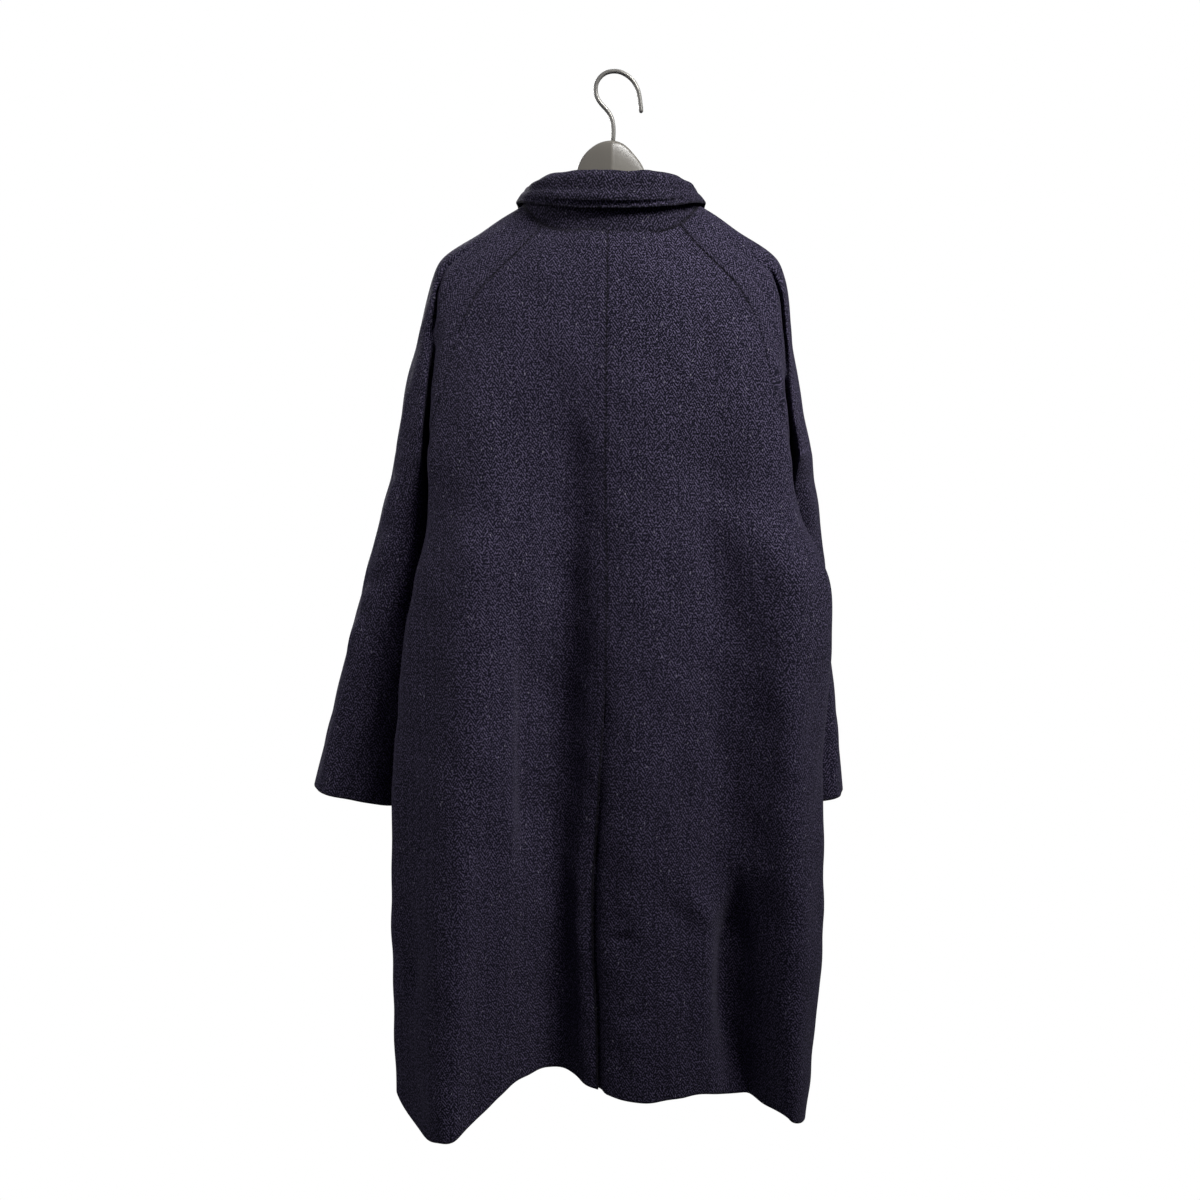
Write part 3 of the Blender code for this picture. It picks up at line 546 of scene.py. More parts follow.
class CoatStage(bpy.types.PropertyGroup):
    """The camera, the lights and the floor."""

    lens: bpy.props.FloatProperty(
        name="Lens", description="Focal length on a 36 mm frame", default=45.0, subtype="DISTANCE_CAMERA")
    camera_place: bpy.props.FloatVectorProperty(
        name="Camera", description="Where the camera stands", subtype="TRANSLATION", unit="LENGTH",
        default=(0.01515, 1.8, -0.4355))
    camera_dip: bpy.props.FloatProperty(
        name="Dip", description="How far the camera looks down", default=math.radians(5.71), subtype="ANGLE")
    key_power: bpy.props.FloatProperty(
        name="Key light", description="Power of the light above the coat's right", default=6.1,
        subtype="POWER")
    fill_power: bpy.props.FloatProperty(
        name="Fill light", description="Power of the soft light on the coat's left", default=2.4,
        subtype="POWER")
    front_power: bpy.props.FloatProperty(
        name="Front light", description="Power of the soft light on the coat's front", default=9.0,
        subtype="POWER")
    surround: bpy.props.FloatProperty(
        name="Surround", description="Strength of the white surround as a light", default=0.034)
    floor_drop: bpy.props.FloatProperty(
        name="Floor", description="How far the floor lies below the hem", default=0.45, unit="LENGTH")


def ease(share):
    """A smooth step from 0 to 1."""
    share = np.clip(share, 0, 1)
    return share * share * (3 - 2 * share)


def curve(knots, values, place):
    """A smooth curve through a column's values: cubic pieces whose slopes come from the neighbours."""
    slope = np.gradient(values, knots)
    first = np.clip(np.searchsorted(knots, place, side="right") - 1, 0, len(knots) - 2)
    span = knots[first + 1] - knots[first]
    part = (place - knots[first]) / span
    start = values[first] + part * span * slope[first]
    end = values[first + 1] - (1 - part) * span * slope[first + 1]
    bend = ease(part)
    return start * (1 - bend) + end * bend


def row_of(rows, key, place):
    """Each column of a table, read at one place between its rows."""
    return {name: curve(rows[key], column, place) for name, column in rows.items()}


def unit(vectors):
    """The same directions, one unit long; no direction stays none."""
    length = np.linalg.norm(vectors, axis=-1, keepdims=True)
    return vectors / np.where(length > 0, length, 1)


def lengths(points):
    """How far each point of each row lies along its row."""
    step = np.linalg.norm(np.diff(points[..., :3], axis=-2), axis=-1)
    return np.concatenate([np.zeros_like(step[..., :1]), np.cumsum(step, axis=-1)], axis=-1)


def depths(points):
    """How far each point of each column lies down its column."""
    return lengths(np.swapaxes(points, 0, 1)).T


def squared(wave, power):
    """A sine or cosine squared off: its sign, and its size to a power."""
    return np.sign(wave) * np.abs(wave) ** power


def even(points, count):
    """The same line as a number of points at even steps."""
    length = lengths(points)
    places = np.linspace(0, length[-1], count)
    return np.stack([np.interp(places, length, column) for column in points.T], axis=1)


def even_parts(points, marks, steps):
    """The same line again, with a number of even steps in each stretch between its marks."""
    ends = [0, *marks, len(points) - 1]
    parts = [points[:1]]
    for start, end, number in zip(ends, ends[1:], steps):
        parts.append(even(points[start:end + 1], number + 1)[1:])
    return np.concatenate(parts)


def stretches(*ends):
    """Many even steps along each stretch between a line's ends."""
    parts = [np.linspace(start, end, DENSE)[1:] for start, end in zip(ends, ends[1:])]
    return np.concatenate([ends[:1], *parts])


def word(side):
    """The name of a side: +1 is the wearer's left."""
    return "left" if side > 0 else "right"


def drape(folds, x, level):
    """How far the folds stand out at x: a bell curve each, growing from where they begin to the hem."""
    share = np.clip((level - FOLD_START) / (2 - FOLD_START), 0, 1)
    centre = folds["x_top"] + (folds["x_hem"] - folds["x_top"]) * share
    bump = np.exp(-(((x[:, None] - centre) / folds["width"]) ** 2))
    return bump @ folds["depth"] * share


def yoke(side, level, turn):
    """Shoulder points: a squared ring, turn 0 at the centre back, over the shoulder, pi at the front.

    The ring is pinched in at the crease, swept back towards the shoulder's tip and lifted there."""
    row = row_of(YOKE, "level", level)
    power = 2 / row["square"]
    half = row[word(side)]
    wide = np.clip(np.sin(turn), 0, 1)
    across = wide**power
    depth = squared(np.cos(turn), power)
    crease = turn_at(side, level, "crease")
    nearest = np.minimum(np.abs(turn - crease), np.abs(turn - (math.pi - crease)))
    pinch = 1 - row["pinch"] * np.exp(-((nearest / CREASE_TURN) ** 2))
    middle = (row["back"] + row["front"]) / 2
    deep = (row["back"] - row["front"]) / 2
    behind = np.cos(turn) > 0
    x = side * half * across + row["drift"] * np.where(behind, np.cos(turn) ** 2, 0)
    y = middle + deep * depth * pinch - SWEEP * (half * across / SHOULDER) ** 2
    fade = 1 - wide**FADE_POWER
    y = y + fade * np.where(behind, drape(BACK_FOLDS, x, level), -drape(FRONT_FOLDS, x, level))
    centre_z = np.where(behind, row["back_z"], row["front_z"])
    z = centre_z + (row["side_z"] - centre_z) * wide**NECK_RISE
    return np.stack([x, y, z], axis=1)


def turn_at(side, level, line):
    """The turn at which a line, the raglan seam or the crease, crosses a shoulder ring at the back."""
    row = row_of(YOKE, "level", level)
    return math.asin(row[f"{line}_{word(side)}"] ** (row["square"] / 2))


def body_half(side, drop, face):
    """Half of a level section: a squared quarter ring from its centre line, then the side to its seam."""
    row = row_of(BODY, "drop", drop)
    power = 2 / row["square"]
    turn = np.linspace(0, math.pi / 2, DENSE)
    half = row[f"{face}_{word(side)}"]
    seam = row[f"side_{word(side)}"]
    turn_y = row[face + "_turn"]
    seam_y = (row["back_turn"] + row["front_turn"]) / 2
    drift = row["drift"] if face == "back" else 0
    x = side * half * np.sin(turn) ** power + drift * np.cos(turn) ** 2
    y = turn_y + (row[face + "_y"] - turn_y) * np.clip(np.cos(turn), 0, 1) ** power
    fade = 1 - np.sin(turn) ** FADE_POWER
    if face == "back":
        y = y + fade * drape(BACK_FOLDS, x, 1 + drop)
    else:
        y = y - fade * drape(FRONT_FOLDS, x, 1 + drop)
    reach = np.linspace(0, 1, DENSE // 3)[1:]
    x = np.concatenate([x, side * (half + (seam - half) * ease(reach))])
    y = np.concatenate([y, turn_y + (seam_y - turn_y) * reach])
    return np.stack([x, y, hem_height(side, face, x, np.concatenate([turn * 0, reach]))], axis=1)


def hem_height(side, face, x, reach):
    """Height of the hem: a curve across the back, then eased to the side seam and the front."""
    seam = HEM_SIDE_LEFT if side > 0 else HEM_SIDE_RIGHT
    if face == "back":
        low, high = HEM_BACK["x"][0], HEM_BACK["x"][-1]
        panel = curve(HEM_BACK["x"], HEM_BACK["z"], np.clip(x, low, high))
        return panel + (seam - panel) * ease(reach)
    share = np.abs(x) / np.abs(x).max()
    panel = HEM_FRONT + (seam - HEM_FRONT) * ease(share) / 2
    return panel + (seam - panel) * ease(reach)


def panel_row(side, level, face):
    """A row of a front or back panel, from its centre line to the raglan or side seam.

    The side steps lie past the lip of the crease and, lower down, past the turn to the side."""
    top = min(level, 1)
    seam = turn_at(side, top, "seam")
    lip = min(turn_at(side, top, "crease") - CREASE_LIP, PANEL_REACH * seam)
    turn = stretches(0, lip, seam)
    if face == "front":
        turn = math.pi - turn
    marks = [DENSE - 1]
    steps = [PANEL_STEPS, PANEL_SIDE_STEPS]
    row = even_parts(yoke(side, top, turn), marks, steps)
    if level <= 1:
        return row
    drop = level - 1
    hem = even_parts(body_half(side, drop, face), marks, steps)
    share = ease(drop / BODY_BLEND)
    plan = row[:, :2] * (1 - share) + hem[:, :2] * share
    height = row[:, 2] + (hem[:, 2] - row[:, 2]) * drop
    return np.column_stack([plan, height])


def sleeve_row(side, level):
    """A row of a sleeve: over the shoulder between the raglan seams, or round the hanging sleeve.

    The side steps lie in the crease and, lower down, on the side next to the body."""
    top = min(level, 1)
    seam = turn_at(side, top, "seam")
    lip = min(turn_at(side, top, "crease") + CREASE_LIP, seam + SLEEVE_REACH * (math.pi / 2 - seam))
    marks = [DENSE - 1, 2 * (DENSE - 1)]
    steps = [SLEEVE_SIDE_STEPS, SLEEVE_STEPS, SLEEVE_SIDE_STEPS]
    row = even_parts(yoke(side, top, stretches(seam, lip, math.pi - lip, math.pi - seam)), marks, steps)
    if level <= 1:
        return row
    share = level - 1
    size = row_of(SLEEVE_LEFT if side > 0 else SLEEVE_RIGHT, "share", share)
    power = 2 / SLEEVE_SQUARE
    whole = 2 * math.pi
    spin = stretches(0, SLEEVE_SIDE, whole - SLEEVE_SIDE, whole)
    round_x = squared(np.cos(spin), power)
    round_y = squared(np.sin(spin), power)
    x = (size["outer"] + size["inner"]) / 2 - round_x * (size["outer"] - size["inner"]) / 2
    y = (size["back"] + size["front"]) / 2 + round_y * (size["back"] - size["front"]) / 2
    across = (x - size["inner"]) / (size["outer"] - size["inner"])
    z = size["inner_z"] + (size["outer_z"] - size["inner_z"]) * across
    ring = even_parts(np.stack([side * x, y, z], axis=1), marks, steps)
    bend = ease(share / SLEEVE_BLEND)
    return row * (1 - bend) + ring * bend


def soften(grid):
    """Evens out the change of direction from row to row: each row moves towards its neighbours' mean."""
    for _ in range(SOFTENING):
        grid[1:-1] = (grid[:-2] + 2 * grid[1:-1] + grid[2:]) / 4
    return grid


def grid_normals(grid, before, after, outward):
    """Outward directions of a grid, using the neighbour's column past each edge."""
    wide = np.concatenate([before[:, None], grid, after[:, None]], axis=1)
    across = wide[:, 2:] - wide[:, :-2]
    down = np.gradient(grid, axis=0)
    return unit(np.cross(across, down) * outward)


def garment_grids():
    """The outer grids of the panels and sleeves, meeting exactly at their seams."""
    yoke_levels = np.linspace(0, 1, YOKE_ROWS)
    body_levels = np.concatenate([yoke_levels, 1 + np.linspace(0, 1, BODY_ROWS + 1)[1:]])
    sleeve_levels = np.concatenate([yoke_levels, 1 + np.linspace(0, 1, SLEEVE_ROWS + 1)[1:]])
    grids = {}
    for side in (1, -1):
        for face in ("back", "front"):
            rows = [panel_row(side, level, face) for level in body_levels]
            grids[f"{face}_{word(side)}"] = soften(np.array(rows))
        rows = [sleeve_row(side, level) for level in sleeve_levels]
        grids[f"sleeve_{word(side)}"] = soften(np.array(rows))
    return grids


def garment_normals(grids):
    """Outward directions for every grid, the same on both sides of a seam."""
    normals = {}
    armpit = YOKE_ROWS - 1
    for side in (1, -1):
        own, other = word(side), word(-side)
        sleeve = grids["sleeve_" + own]
        for face, sleeve_column in (("back", 1), ("front", -2)):
            grid = grids[f"{face}_{own}"]
            facing = "front" if face == "back" else "back"
            past_seam = grids[f"{facing}_{own}"][:, -2].copy()
            past_seam[:armpit] = sleeve[:armpit, sleeve_column]
            past_centre = grids[f"{face}_{other}"][:, 1]
            outward = side if face == "back" else -side
            normals[f"{face}_{own}"] = grid_normals(grid, past_centre, past_seam, outward)
        before, after = sleeve[:, -2].copy(), sleeve[:, 1].copy()
        before[:armpit] = grids["back_" + own][:armpit, -2]
        after[:armpit] = grids["front_" + own][:armpit, -2]
        normals["sleeve_" + own] = grid_normals(sleeve, before, after, side)
    return normals


def flat_places(grid, still, sign):
    """Each point's place on the flat cloth, from the line of one column and the armpit row.

    A point lies down the line by its row's place plus its offset along the line's own direction, and
    across it by Pythagoras from how far along its row it is. The places are then settled."""
    line = grid[:, still]
    heading = unit(np.gradient(line, axis=0))
    beyond = np.einsum("rcx,rx->rc", grid - line[:, None], heading)
    along = lengths(grid)
    along = sign * (along - along[:, still:still + 1])
    across = np.sign(along) * np.sqrt(np.maximum(along**2 - beyond**2, (LEAST_ACROSS * along) ** 2))
    down = lengths(line)
    start = np.stack([across, (down - down[YOKE_ROWS - 1])[:, None] + beyond], axis=2)

    rows = np.arange(0, grid.shape[0], SETTLE_ROWS)
    columns = np.arange(0, grid.shape[1], SETTLE_COLUMNS)
    coarse = np.ix_(rows, columns)
    change = settle(grid[coarse], start[coarse], still // SETTLE_COLUMNS) - start[coarse]
    full = [filled_in(change[..., axis], rows, columns, grid.shape) for axis in (0, 1)]
    return start + np.stack(full, axis=2)


def filled_in(values, rows, columns, shape):
    """Values at some rows and columns of a grid, filled in along straight lines between them."""
    wide = np.array([np.interp(np.arange(shape[1]), columns, row) for row in values])
    return np.array([np.interp(np.arange(shape[0]), rows, column) for column in wide.T]).T


def settle(grid, places, still):
    """Flat places eased until their steps, level, down and slanting, are as long as on the shaped cloth.

    One column stays still."""
    rows, columns = grid.shape[:2]
    links = []
    for down, right in ((0, 1), (1, 0), (1, 1), (1, -1)):
        first = (slice(0, rows - down), slice(max(0, -right), columns - max(0, right)))
        second = (slice(down, rows), slice(max(0, right), columns + min(0, right)))
        links.append((first, second, np.linalg.norm(grid[second] - grid[first], axis=2, keepdims=True)))
    kept = places[:, still].copy()
    for _ in range(SETTLING):
        push = np.zeros_like(places)
        for first, second, length in links:
            gap = places[second] - places[first]
            move = gap * (1 - length / np.linalg.norm(gap, axis=2, keepdims=True))
            push[first] += move
            push[second] -= move
        places = places + push * SETTLE_SHARE
        places[:, still] = kept
    return places


def crease_lift(creases, across, down):
    """How far creases lift the cloth: each is a bell curve across its line, faded at its ends."""
    lift = np.zeros_like(across)
    for from_x, from_d, to_x, to_d, bow, width, depth, lean, open_end in zip(*creases.values()):
        run_x, run_d = to_x - from_x, to_d - from_d
        length = math.hypot(run_x, run_d)
        along = ((across - from_x) * run_x + (down - from_d) * run_d) / length**2
        beside = ((across - from_x) * run_d - (down - from_d) * run_x) / length
        beside = beside - bow * 4 * along * (1 - along)
        reach = width * (1 + lean * np.sign(beside))
        fade = ease(along / CREASE_TAPER) * np.maximum(ease((1 - along) / CREASE_TAPER), open_end)
        lift += depth * fade * np.exp(-((beside / reach) ** 2))
    return lift


def ripple_lift(across, down):
    """The cloth's slow unevenness: a sum of slanting waves."""
    lift = np.zeros_like(across)
    for wave_across, wave_down, shift, height in zip(*RIPPLES.values()):
        lift += height * np.sin(2 * math.pi * (across / wave_across + down / wave_down) + shift)
    return lift


@functools.cache
def garment():
    """Every panel and sleeve: points, outward directions and places on the flat cloth, side by side."""
    grids = garment_grids()
    normals = garment_normals(grids)
    cloth = {}
    for name, grid in grids.items():
        is_sleeve = name.startswith("sleeve")
        edge = lengths(grid)
        to_seam = edge[:, -1:] - edge
        across, down = grid[..., 0], ARMPIT - grid[..., 2]
        creases = BACK_CREASES if name.startswith("back") else FRONT_CREASES
        if is_sleeve:
            places = flat_places(grid, grid.shape[1] // 2, 1)
            across, down = places[..., 0], places[..., 1]
            creases = SLEEVE_CREASES
            to_seam = np.minimum(to_seam, edge)
        lift = crease_lift(creases, across, down) + ripple_lift(across, down)
        points = grid + normals[name] * (lift * ease(to_seam / CREASE_SEAM_FADE))[..., None]
        if not is_sleeve:
            places = flat_places(points, 0, 1 if name.endswith("left") else -1)
        cloth[name] = np.concatenate([points, normals[name], places], axis=2)
    return cloth


def respace(data, start, end, middle):
    """Each row again: points at given distances from its start and its end, and even ones between."""
    rows = []
    for row, length in zip(data, lengths(data)):
        between = np.linspace(start[-1], length[-1] - end[-1], middle)[1:-1]
        places = np.concatenate([start, between, length[-1] - end[::-1]])
        rows.append(np.stack([np.interp(places, length, column) for column in row.T], axis=1))
    return np.array(rows)


def raise_by(data, lift):
    """The same cloth with each point moved along its outward direction."""
    moved = data.copy()
    moved[..., :3] += data[..., 3:6] * lift[..., None]
    return moved


def draw_back(data, distance):
    """The same cloth with its last row drawn back by a distance, which the round rim then fills."""
    data = data.copy()
    data[-1, :, :3] += unit(data[-2, :, :3] - data[-1, :, :3]) * distance
    return data


def hem_thickness(data, cloth, free=None):
    """Thickness of a panel or sleeve: one layer, with a turned hem's fullness near its lower edge.

    free is a distance from a lap's line, near which the hem stays flat."""
    from_hem = depths(data[::-1])[::-1]
    turned = 1 - ease((from_hem - cloth.hem_depth) / HEM_EASE)
    if free is not None:
        turned = turned * ease((free - FRONT_LAP) / HEM_LAP_EASE)
    return cloth.thickness + cloth.hem_fullness * turned


def shell(data, thick, outward, cut=(0, 0)):
    """A closed cloth wall: outer points, inner points a thickness further in, and a half-round rim.

    The rim swings from the outer edge to the inner one: half the thickness times the cosine of the
    swing along the outward direction, and times its sine away from the piece along the cloth.
    cut leaves out a corner block of so many rows and columns."""
    outer, normal, places = data[..., :3], data[..., 3:6], data[..., 6:]
    inner = outer - normal * thick[..., None]
    rows, columns = outer.shape[:2]
    count = rows * columns
    index = np.arange(count).reshape(rows, columns)
    cut_row, cut_column = cut
    kept = np.ones((rows - 1, columns - 1), bool)
    kept[:cut_row, :cut_column] = False
    corners = (index[:-1, :-1], index[:-1, 1:], index[1:, 1:], index[1:, :-1])
    quads = np.stack(corners, axis=-1)[kept]
    edge = np.concatenate([
        index[0, cut_column:-1], index[:-1, -1], index[-1, :0:-1], index[:cut_row:-1, 0],
        index[cut_row, :cut_column], index[cut_row:0:-1, cut_column],
    ])
    away = np.zeros_like(outer)
    away[0, cut_column:] += unit(outer[0, cut_column:] - outer[1, cut_column:])
    away[-1] += unit(outer[-1] - outer[-2])
    away[:, -1] += unit(outer[:, -1] - outer[:, -2])
    away[cut_row:, 0] += unit(outer[cut_row:, 0] - outer[cut_row:, 1])
    if cut_row:
        away[cut_row, :cut_column] += unit(outer[cut_row, :cut_column] - outer[cut_row + 1, :cut_column])
        away[:cut_row, cut_column] += unit(outer[:cut_row, cut_column] - outer[:cut_row, cut_column + 1])
    flat = [part.reshape(count, -1)[edge] for part in (outer, inner, away, places)]
    half = (flat[0] - flat[1]) / 2
    sideways = unit(flat[2]) * np.linalg.norm(half, axis=1, keepdims=True)
    swings = np.linspace(0, math.pi, RIM_STEPS + 1)[1:-1]
    rim = [flat[1] + half + half * math.cos(swing) + sideways * math.sin(swing) for swing in swings]
    rings = [edge, *(2 * count + len(edge) * ring + np.arange(len(edge)) for ring in range(len(rim))),
             edge + count]
    sides = [np.stack([np.roll(near, -1), near, far, np.roll(far, -1)], axis=-1)
             for near, far in zip(rings, rings[1:])]
    points = np.concatenate([outer.reshape(-1, 3), inner.reshape(-1, 3), *rim])
    layer = places.reshape(count, -1)
    flat_cloth = np.concatenate([layer, layer, *[flat[3]] * len(rim)])
    faces = np.concatenate([quads, quads[:, ::-1] + count, *sides])
    if outward < 0:
        faces = faces[:, ::-1]
    used, faces = np.unique(faces, return_inverse=True)
    return points[used], faces.reshape(-1, 4), flat_cloth[used]


def put(name, points, faces, finish, stands_for, places=None):
    """A smooth piece at the origin from its points and faces, which stands for its node on the frame."""
    mesh = bpy.data.meshes.new(name)
    mesh.from_pydata(points.tolist(), [], faces.tolist())
    if places is not None:
        corners = np.zeros(len(mesh.loops), np.int32)
        mesh.loops.foreach_get("vertex_index", corners)
        mesh.uv_layers.new(name="grain").data.foreach_set("uv", (places[corners, :2] + GRAIN_START).ravel())
        # the seam attribute carries the painted shade along seams and edges, and over the collar
        mesh.attributes.new("seam", "FLOAT", "POINT").data.foreach_set("value", places[:, 2].copy())
    mesh.shade_smooth()
    mesh.materials.append(finish)
    piece = bpy.data.objects.new(name, mesh)
    bpy.context.scene.collection.objects.link(piece)
    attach(piece, "root")
    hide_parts(stands_for)
    return piece


def put_mixed(name, points, face_groups, finish, stands_for):
    """A piece whose faces have different numbers of corners, group by group."""
    faces = [face for group in face_groups for face in group.tolist()]
    return put(name, points, np.array(faces, object), finish, stands_for)


def near_line(distance, place=0.0, width=SEAM_LINE):
    """A bell curve of the distance from a place, such as a soft line along a piece's edge."""
    return np.exp(-(((distance - place) / width) ** 2))


def dashed_seam_shade(data, distance):
    """Painted shade along a sewn seam at a piece's edge: a soft dark line that comes and goes down the
    cloth.
    """
    wave = 0.5 + 0.5 * np.sin(2 * math.pi * data[..., 7] / DASH_LONG)
    return DASH_PAINTED_SHADE * near_line(distance, width=DASH_LINE) * (1 - DASH_FADE * wave)


def raglan_seam_shade(data, distance):
    """Painted shade along the raglan seam: clear near the neck, then fading down to the armpit."""
    level = np.arange(len(data))[:, None] / (YOKE_ROWS - 1)
    faded = (1 - RAGLAN_LEFT) * ease((level - RAGLAN_SHOWN) / RAGLAN_FADE)
    return RAGLAN_PAINTED_SHADE * near_line(distance) * (1 - faded)


def put_cloth(name, data, thick, outward, seam, cut=(0, 0)):
    """A cloth piece as a closed shell in tweed, with painted shade along its seams and edges, with the size
    it was cut to.
    """
    neck = depths(data)
    hem = neck[-1:] - neck
    # painted shade: dark lines at the hem's edge and along the neck seam
    painted_shading = np.clip(seam + HEM_PAINTED_SHADE * near_line(hem) + NECK_PAINTED_SHADE * near_line(neck, width=NECK_LINE), 0, 1)
    data = np.concatenate([data, painted_shading[..., None]], axis=2)
    points, faces, places = shell(data, thick, outward, cut)
    piece = put("cloth_" + name, points, faces, tweed(), name, places)
    return piece


def new_material(name):
    """A new node material, with its node tree and its shader."""
    made = bpy.data.materials.new(name)
    made.use_nodes = True
    return made, made.node_tree, made.node_tree.nodes["Principled BSDF"]


def node(tree, kind, inputs=(), **settings):
    """A new node with its settings; inputs are (socket, value or another node's output) pairs."""
    made = tree.nodes.new(kind)
    for setting, value in settings.items():
        setattr(made, setting, value)
    for socket, value in inputs:
        if isinstance(value, bpy.types.NodeSocket):
            tree.links.new(value, made.inputs[socket])
        else:
            made.inputs[socket].default_value = value
    return made


def maths(tree, operation, *values):
    """The result of a maths node on numbers or other results."""
    return node(tree, "ShaderNodeMath", list(enumerate(values)), operation=operation).outputs[0]


def noise(tree, place, scale, detail=2.0):
    """A soft noise from 0 to 1, with so many grains a metre."""
    inputs = [("Vector", place), ("Scale", scale), ("Detail", detail)]
    return node(tree, "ShaderNodeTexNoise", inputs).outputs["Fac"]


def add_relief(tree, shader, height, strength, depth):
    """A fine relief on the shader from a height between 0 and 1."""
    bump = node(tree, "ShaderNodeBump", [("Height", height), ("Strength", strength), ("Distance", depth)])
    tree.links.new(bump.outputs[0], shader.inputs["Normal"])


def uneven(tree, place, grains, detail=2.0):
    """A soft noise from -0.5 to 0.5."""
    return maths(tree, "SUBTRACT", noise(tree, place, grains, detail), 0.5)


def blend(tree, share, first, second):
    """Two colours mixed by a share."""
    inputs = [("Factor", share), ("A", first), ("B", second)]
    return node(tree, "ShaderNodeMix", inputs, data_type="RGBA").outputs["Result"]


@functools.cache
def tweed():
    """Herringbone tweed: slanting twill lines that turn back at each column, in two heathered yarns.

    The lines are a sine of the distance down the cloth plus the slant times a zigzag across it, half
    a line later in every other column. Noise breaks the yarns up, and pale flecks lie between."""
    cloth = bpy.context.scene.coat_cloth
    made, tree, shader = new_material("tweed")
    place = node(tree, "ShaderNodeUVMap", uv_map="grain").outputs[0]
    split = node(tree, "ShaderNodeSeparateXYZ", [(0, place)]).outputs
    wobble = uneven(tree, place, WOBBLE_GRAINS)
    across = maths(tree, "MULTIPLY_ADD", wobble, WOBBLE_ACROSS, split[0])
    down = maths(tree, "MULTIPLY_ADD", wobble, WOBBLE_DOWN, split[1])
    zigzag = maths(tree, "PINGPONG", across, cloth.herringbone)
    column = maths(tree, "FLOOR", maths(tree, "DIVIDE", across, cloth.herringbone))
    odd = maths(tree, "MULTIPLY", maths(tree, "PINGPONG", column, 1.0), math.pi)
    line = maths(tree, "MULTIPLY_ADD", zigzag, cloth.slant, down)
    turn = maths(tree, "MULTIPLY_ADD", line, 2 * math.pi / cloth.twill, odd)
    twill = maths(tree, "MULTIPLY_ADD", maths(tree, "SINE", turn), 0.5, 0.5)

    yarn = uneven(tree, place, YARN_GRAINS, YARN_DETAIL)
    heather = uneven(tree, place, HEATHER_GRAINS)
    cloud = uneven(tree, place, CLOUD_GRAINS)
    strength = maths(tree, "MULTIPLY_ADD", odd, -TWILL_LOSS, TWILL_SHARE)
    light = maths(tree, "MULTIPLY_ADD", maths(tree, "SUBTRACT", twill, 0.5), strength, WEAVE_LEVEL)
    light = maths(tree, "MULTIPLY_ADD", yarn, YARN_SHARE, light)
    light = maths(tree, "MULTIPLY_ADD", heather, HEATHER_SHARE, light)
    light = maths(tree, "MULTIPLY_ADD", cloud, CLOUD_SHARE, light)
    light = node(tree, "ShaderNodeClamp", [(0, light)]).outputs[0]
    yarns = blend(tree, light, (*cloth.dark_yarn, 1), (*cloth.light_yarn, 1))

    stretch = [(0, place), (1, FLECK_STRETCH)]
    stretched = node(tree, "ShaderNodeVectorMath", stretch, operation="MULTIPLY").outputs[0]
    cells = node(tree, "ShaderNodeTexVoronoi", [("Vector", stretched), ("Scale", FLECK_GRAINS)]).outputs
    lot = node(tree, "ShaderNodeSeparateXYZ", [(0, cells["Color"])]).outputs[0]
    chosen = maths(tree, "GREATER_THAN", lot, FLECK_RARITY)
    near = maths(tree, "LESS_THAN", cells["Distance"], FLECK_SIZE)
    flecked = maths(tree, "MULTIPLY", maths(tree, "MULTIPLY", chosen, near), FLECK_SHARE)
    colour = blend(tree, flecked, yarns, (*cloth.fleck, 1))
    # Painted shade: the colour is darkened by the seam attribute along seams and edges, and over the collar
    seam = node(tree, "ShaderNodeAttribute", attribute_name="seam").outputs["Fac"]
    painted_shading = maths(tree, "MULTIPLY_ADD", seam, -PAINTED_SHADE_STRENGTH, 1.0)
    darken = [(0, colour), ("Scale", painted_shading)]
    colour = node(tree, "ShaderNodeVectorMath", darken, operation="SCALE").outputs[0]
    tree.links.new(colour, shader.inputs["Base Color"])

    height = maths(tree, "MULTIPLY_ADD", twill, TWILL_RELIEF, maths(tree, "MULTIPLY", yarn, YARN_RELIEF))
    add_relief(tree, shader, height, RELIEF_STRENGTH, RELIEF_DEPTH)
    for socket, value in TWEED_FINISH.items():
        shader.inputs[socket].default_value = value
    return made


def speckled(name, colour, roughness, grains, spread, metallic=0.0, relief=0.0001):
    """A hard finish: its colour clouded by noise, uneven gloss and a fine surface relief."""
    made, tree, shader = new_material(name)
    place = node(tree, "ShaderNodeTexCoord").outputs["Object"]
    cloud = noise(tree, place, grains, HARD_DETAIL)
    dark = tuple(channel * (1 - spread) for channel in colour)
    light = tuple(min(1.0, channel * (1 + spread)) for channel in colour)
    tree.links.new(blend(tree, cloud, (*dark, 1), (*light, 1)), shader.inputs["Base Color"])
    gloss = maths(tree, "MULTIPLY_ADD", uneven(tree, place, grains / 4), GLOSS_SPREAD, roughness)
    tree.links.new(gloss, shader.inputs["Roughness"])
    add_relief(tree, shader, cloud, HARD_RELIEF_STRENGTH, relief)
    shader.inputs["Metallic"].default_value = metallic
    return made


def from_seam(cloth):
    """How far a piece's first points lie from its seam, with room for the round rim."""
    return EDGE_STEPS + cloth.thickness / 2 - SEAM_CLOSING


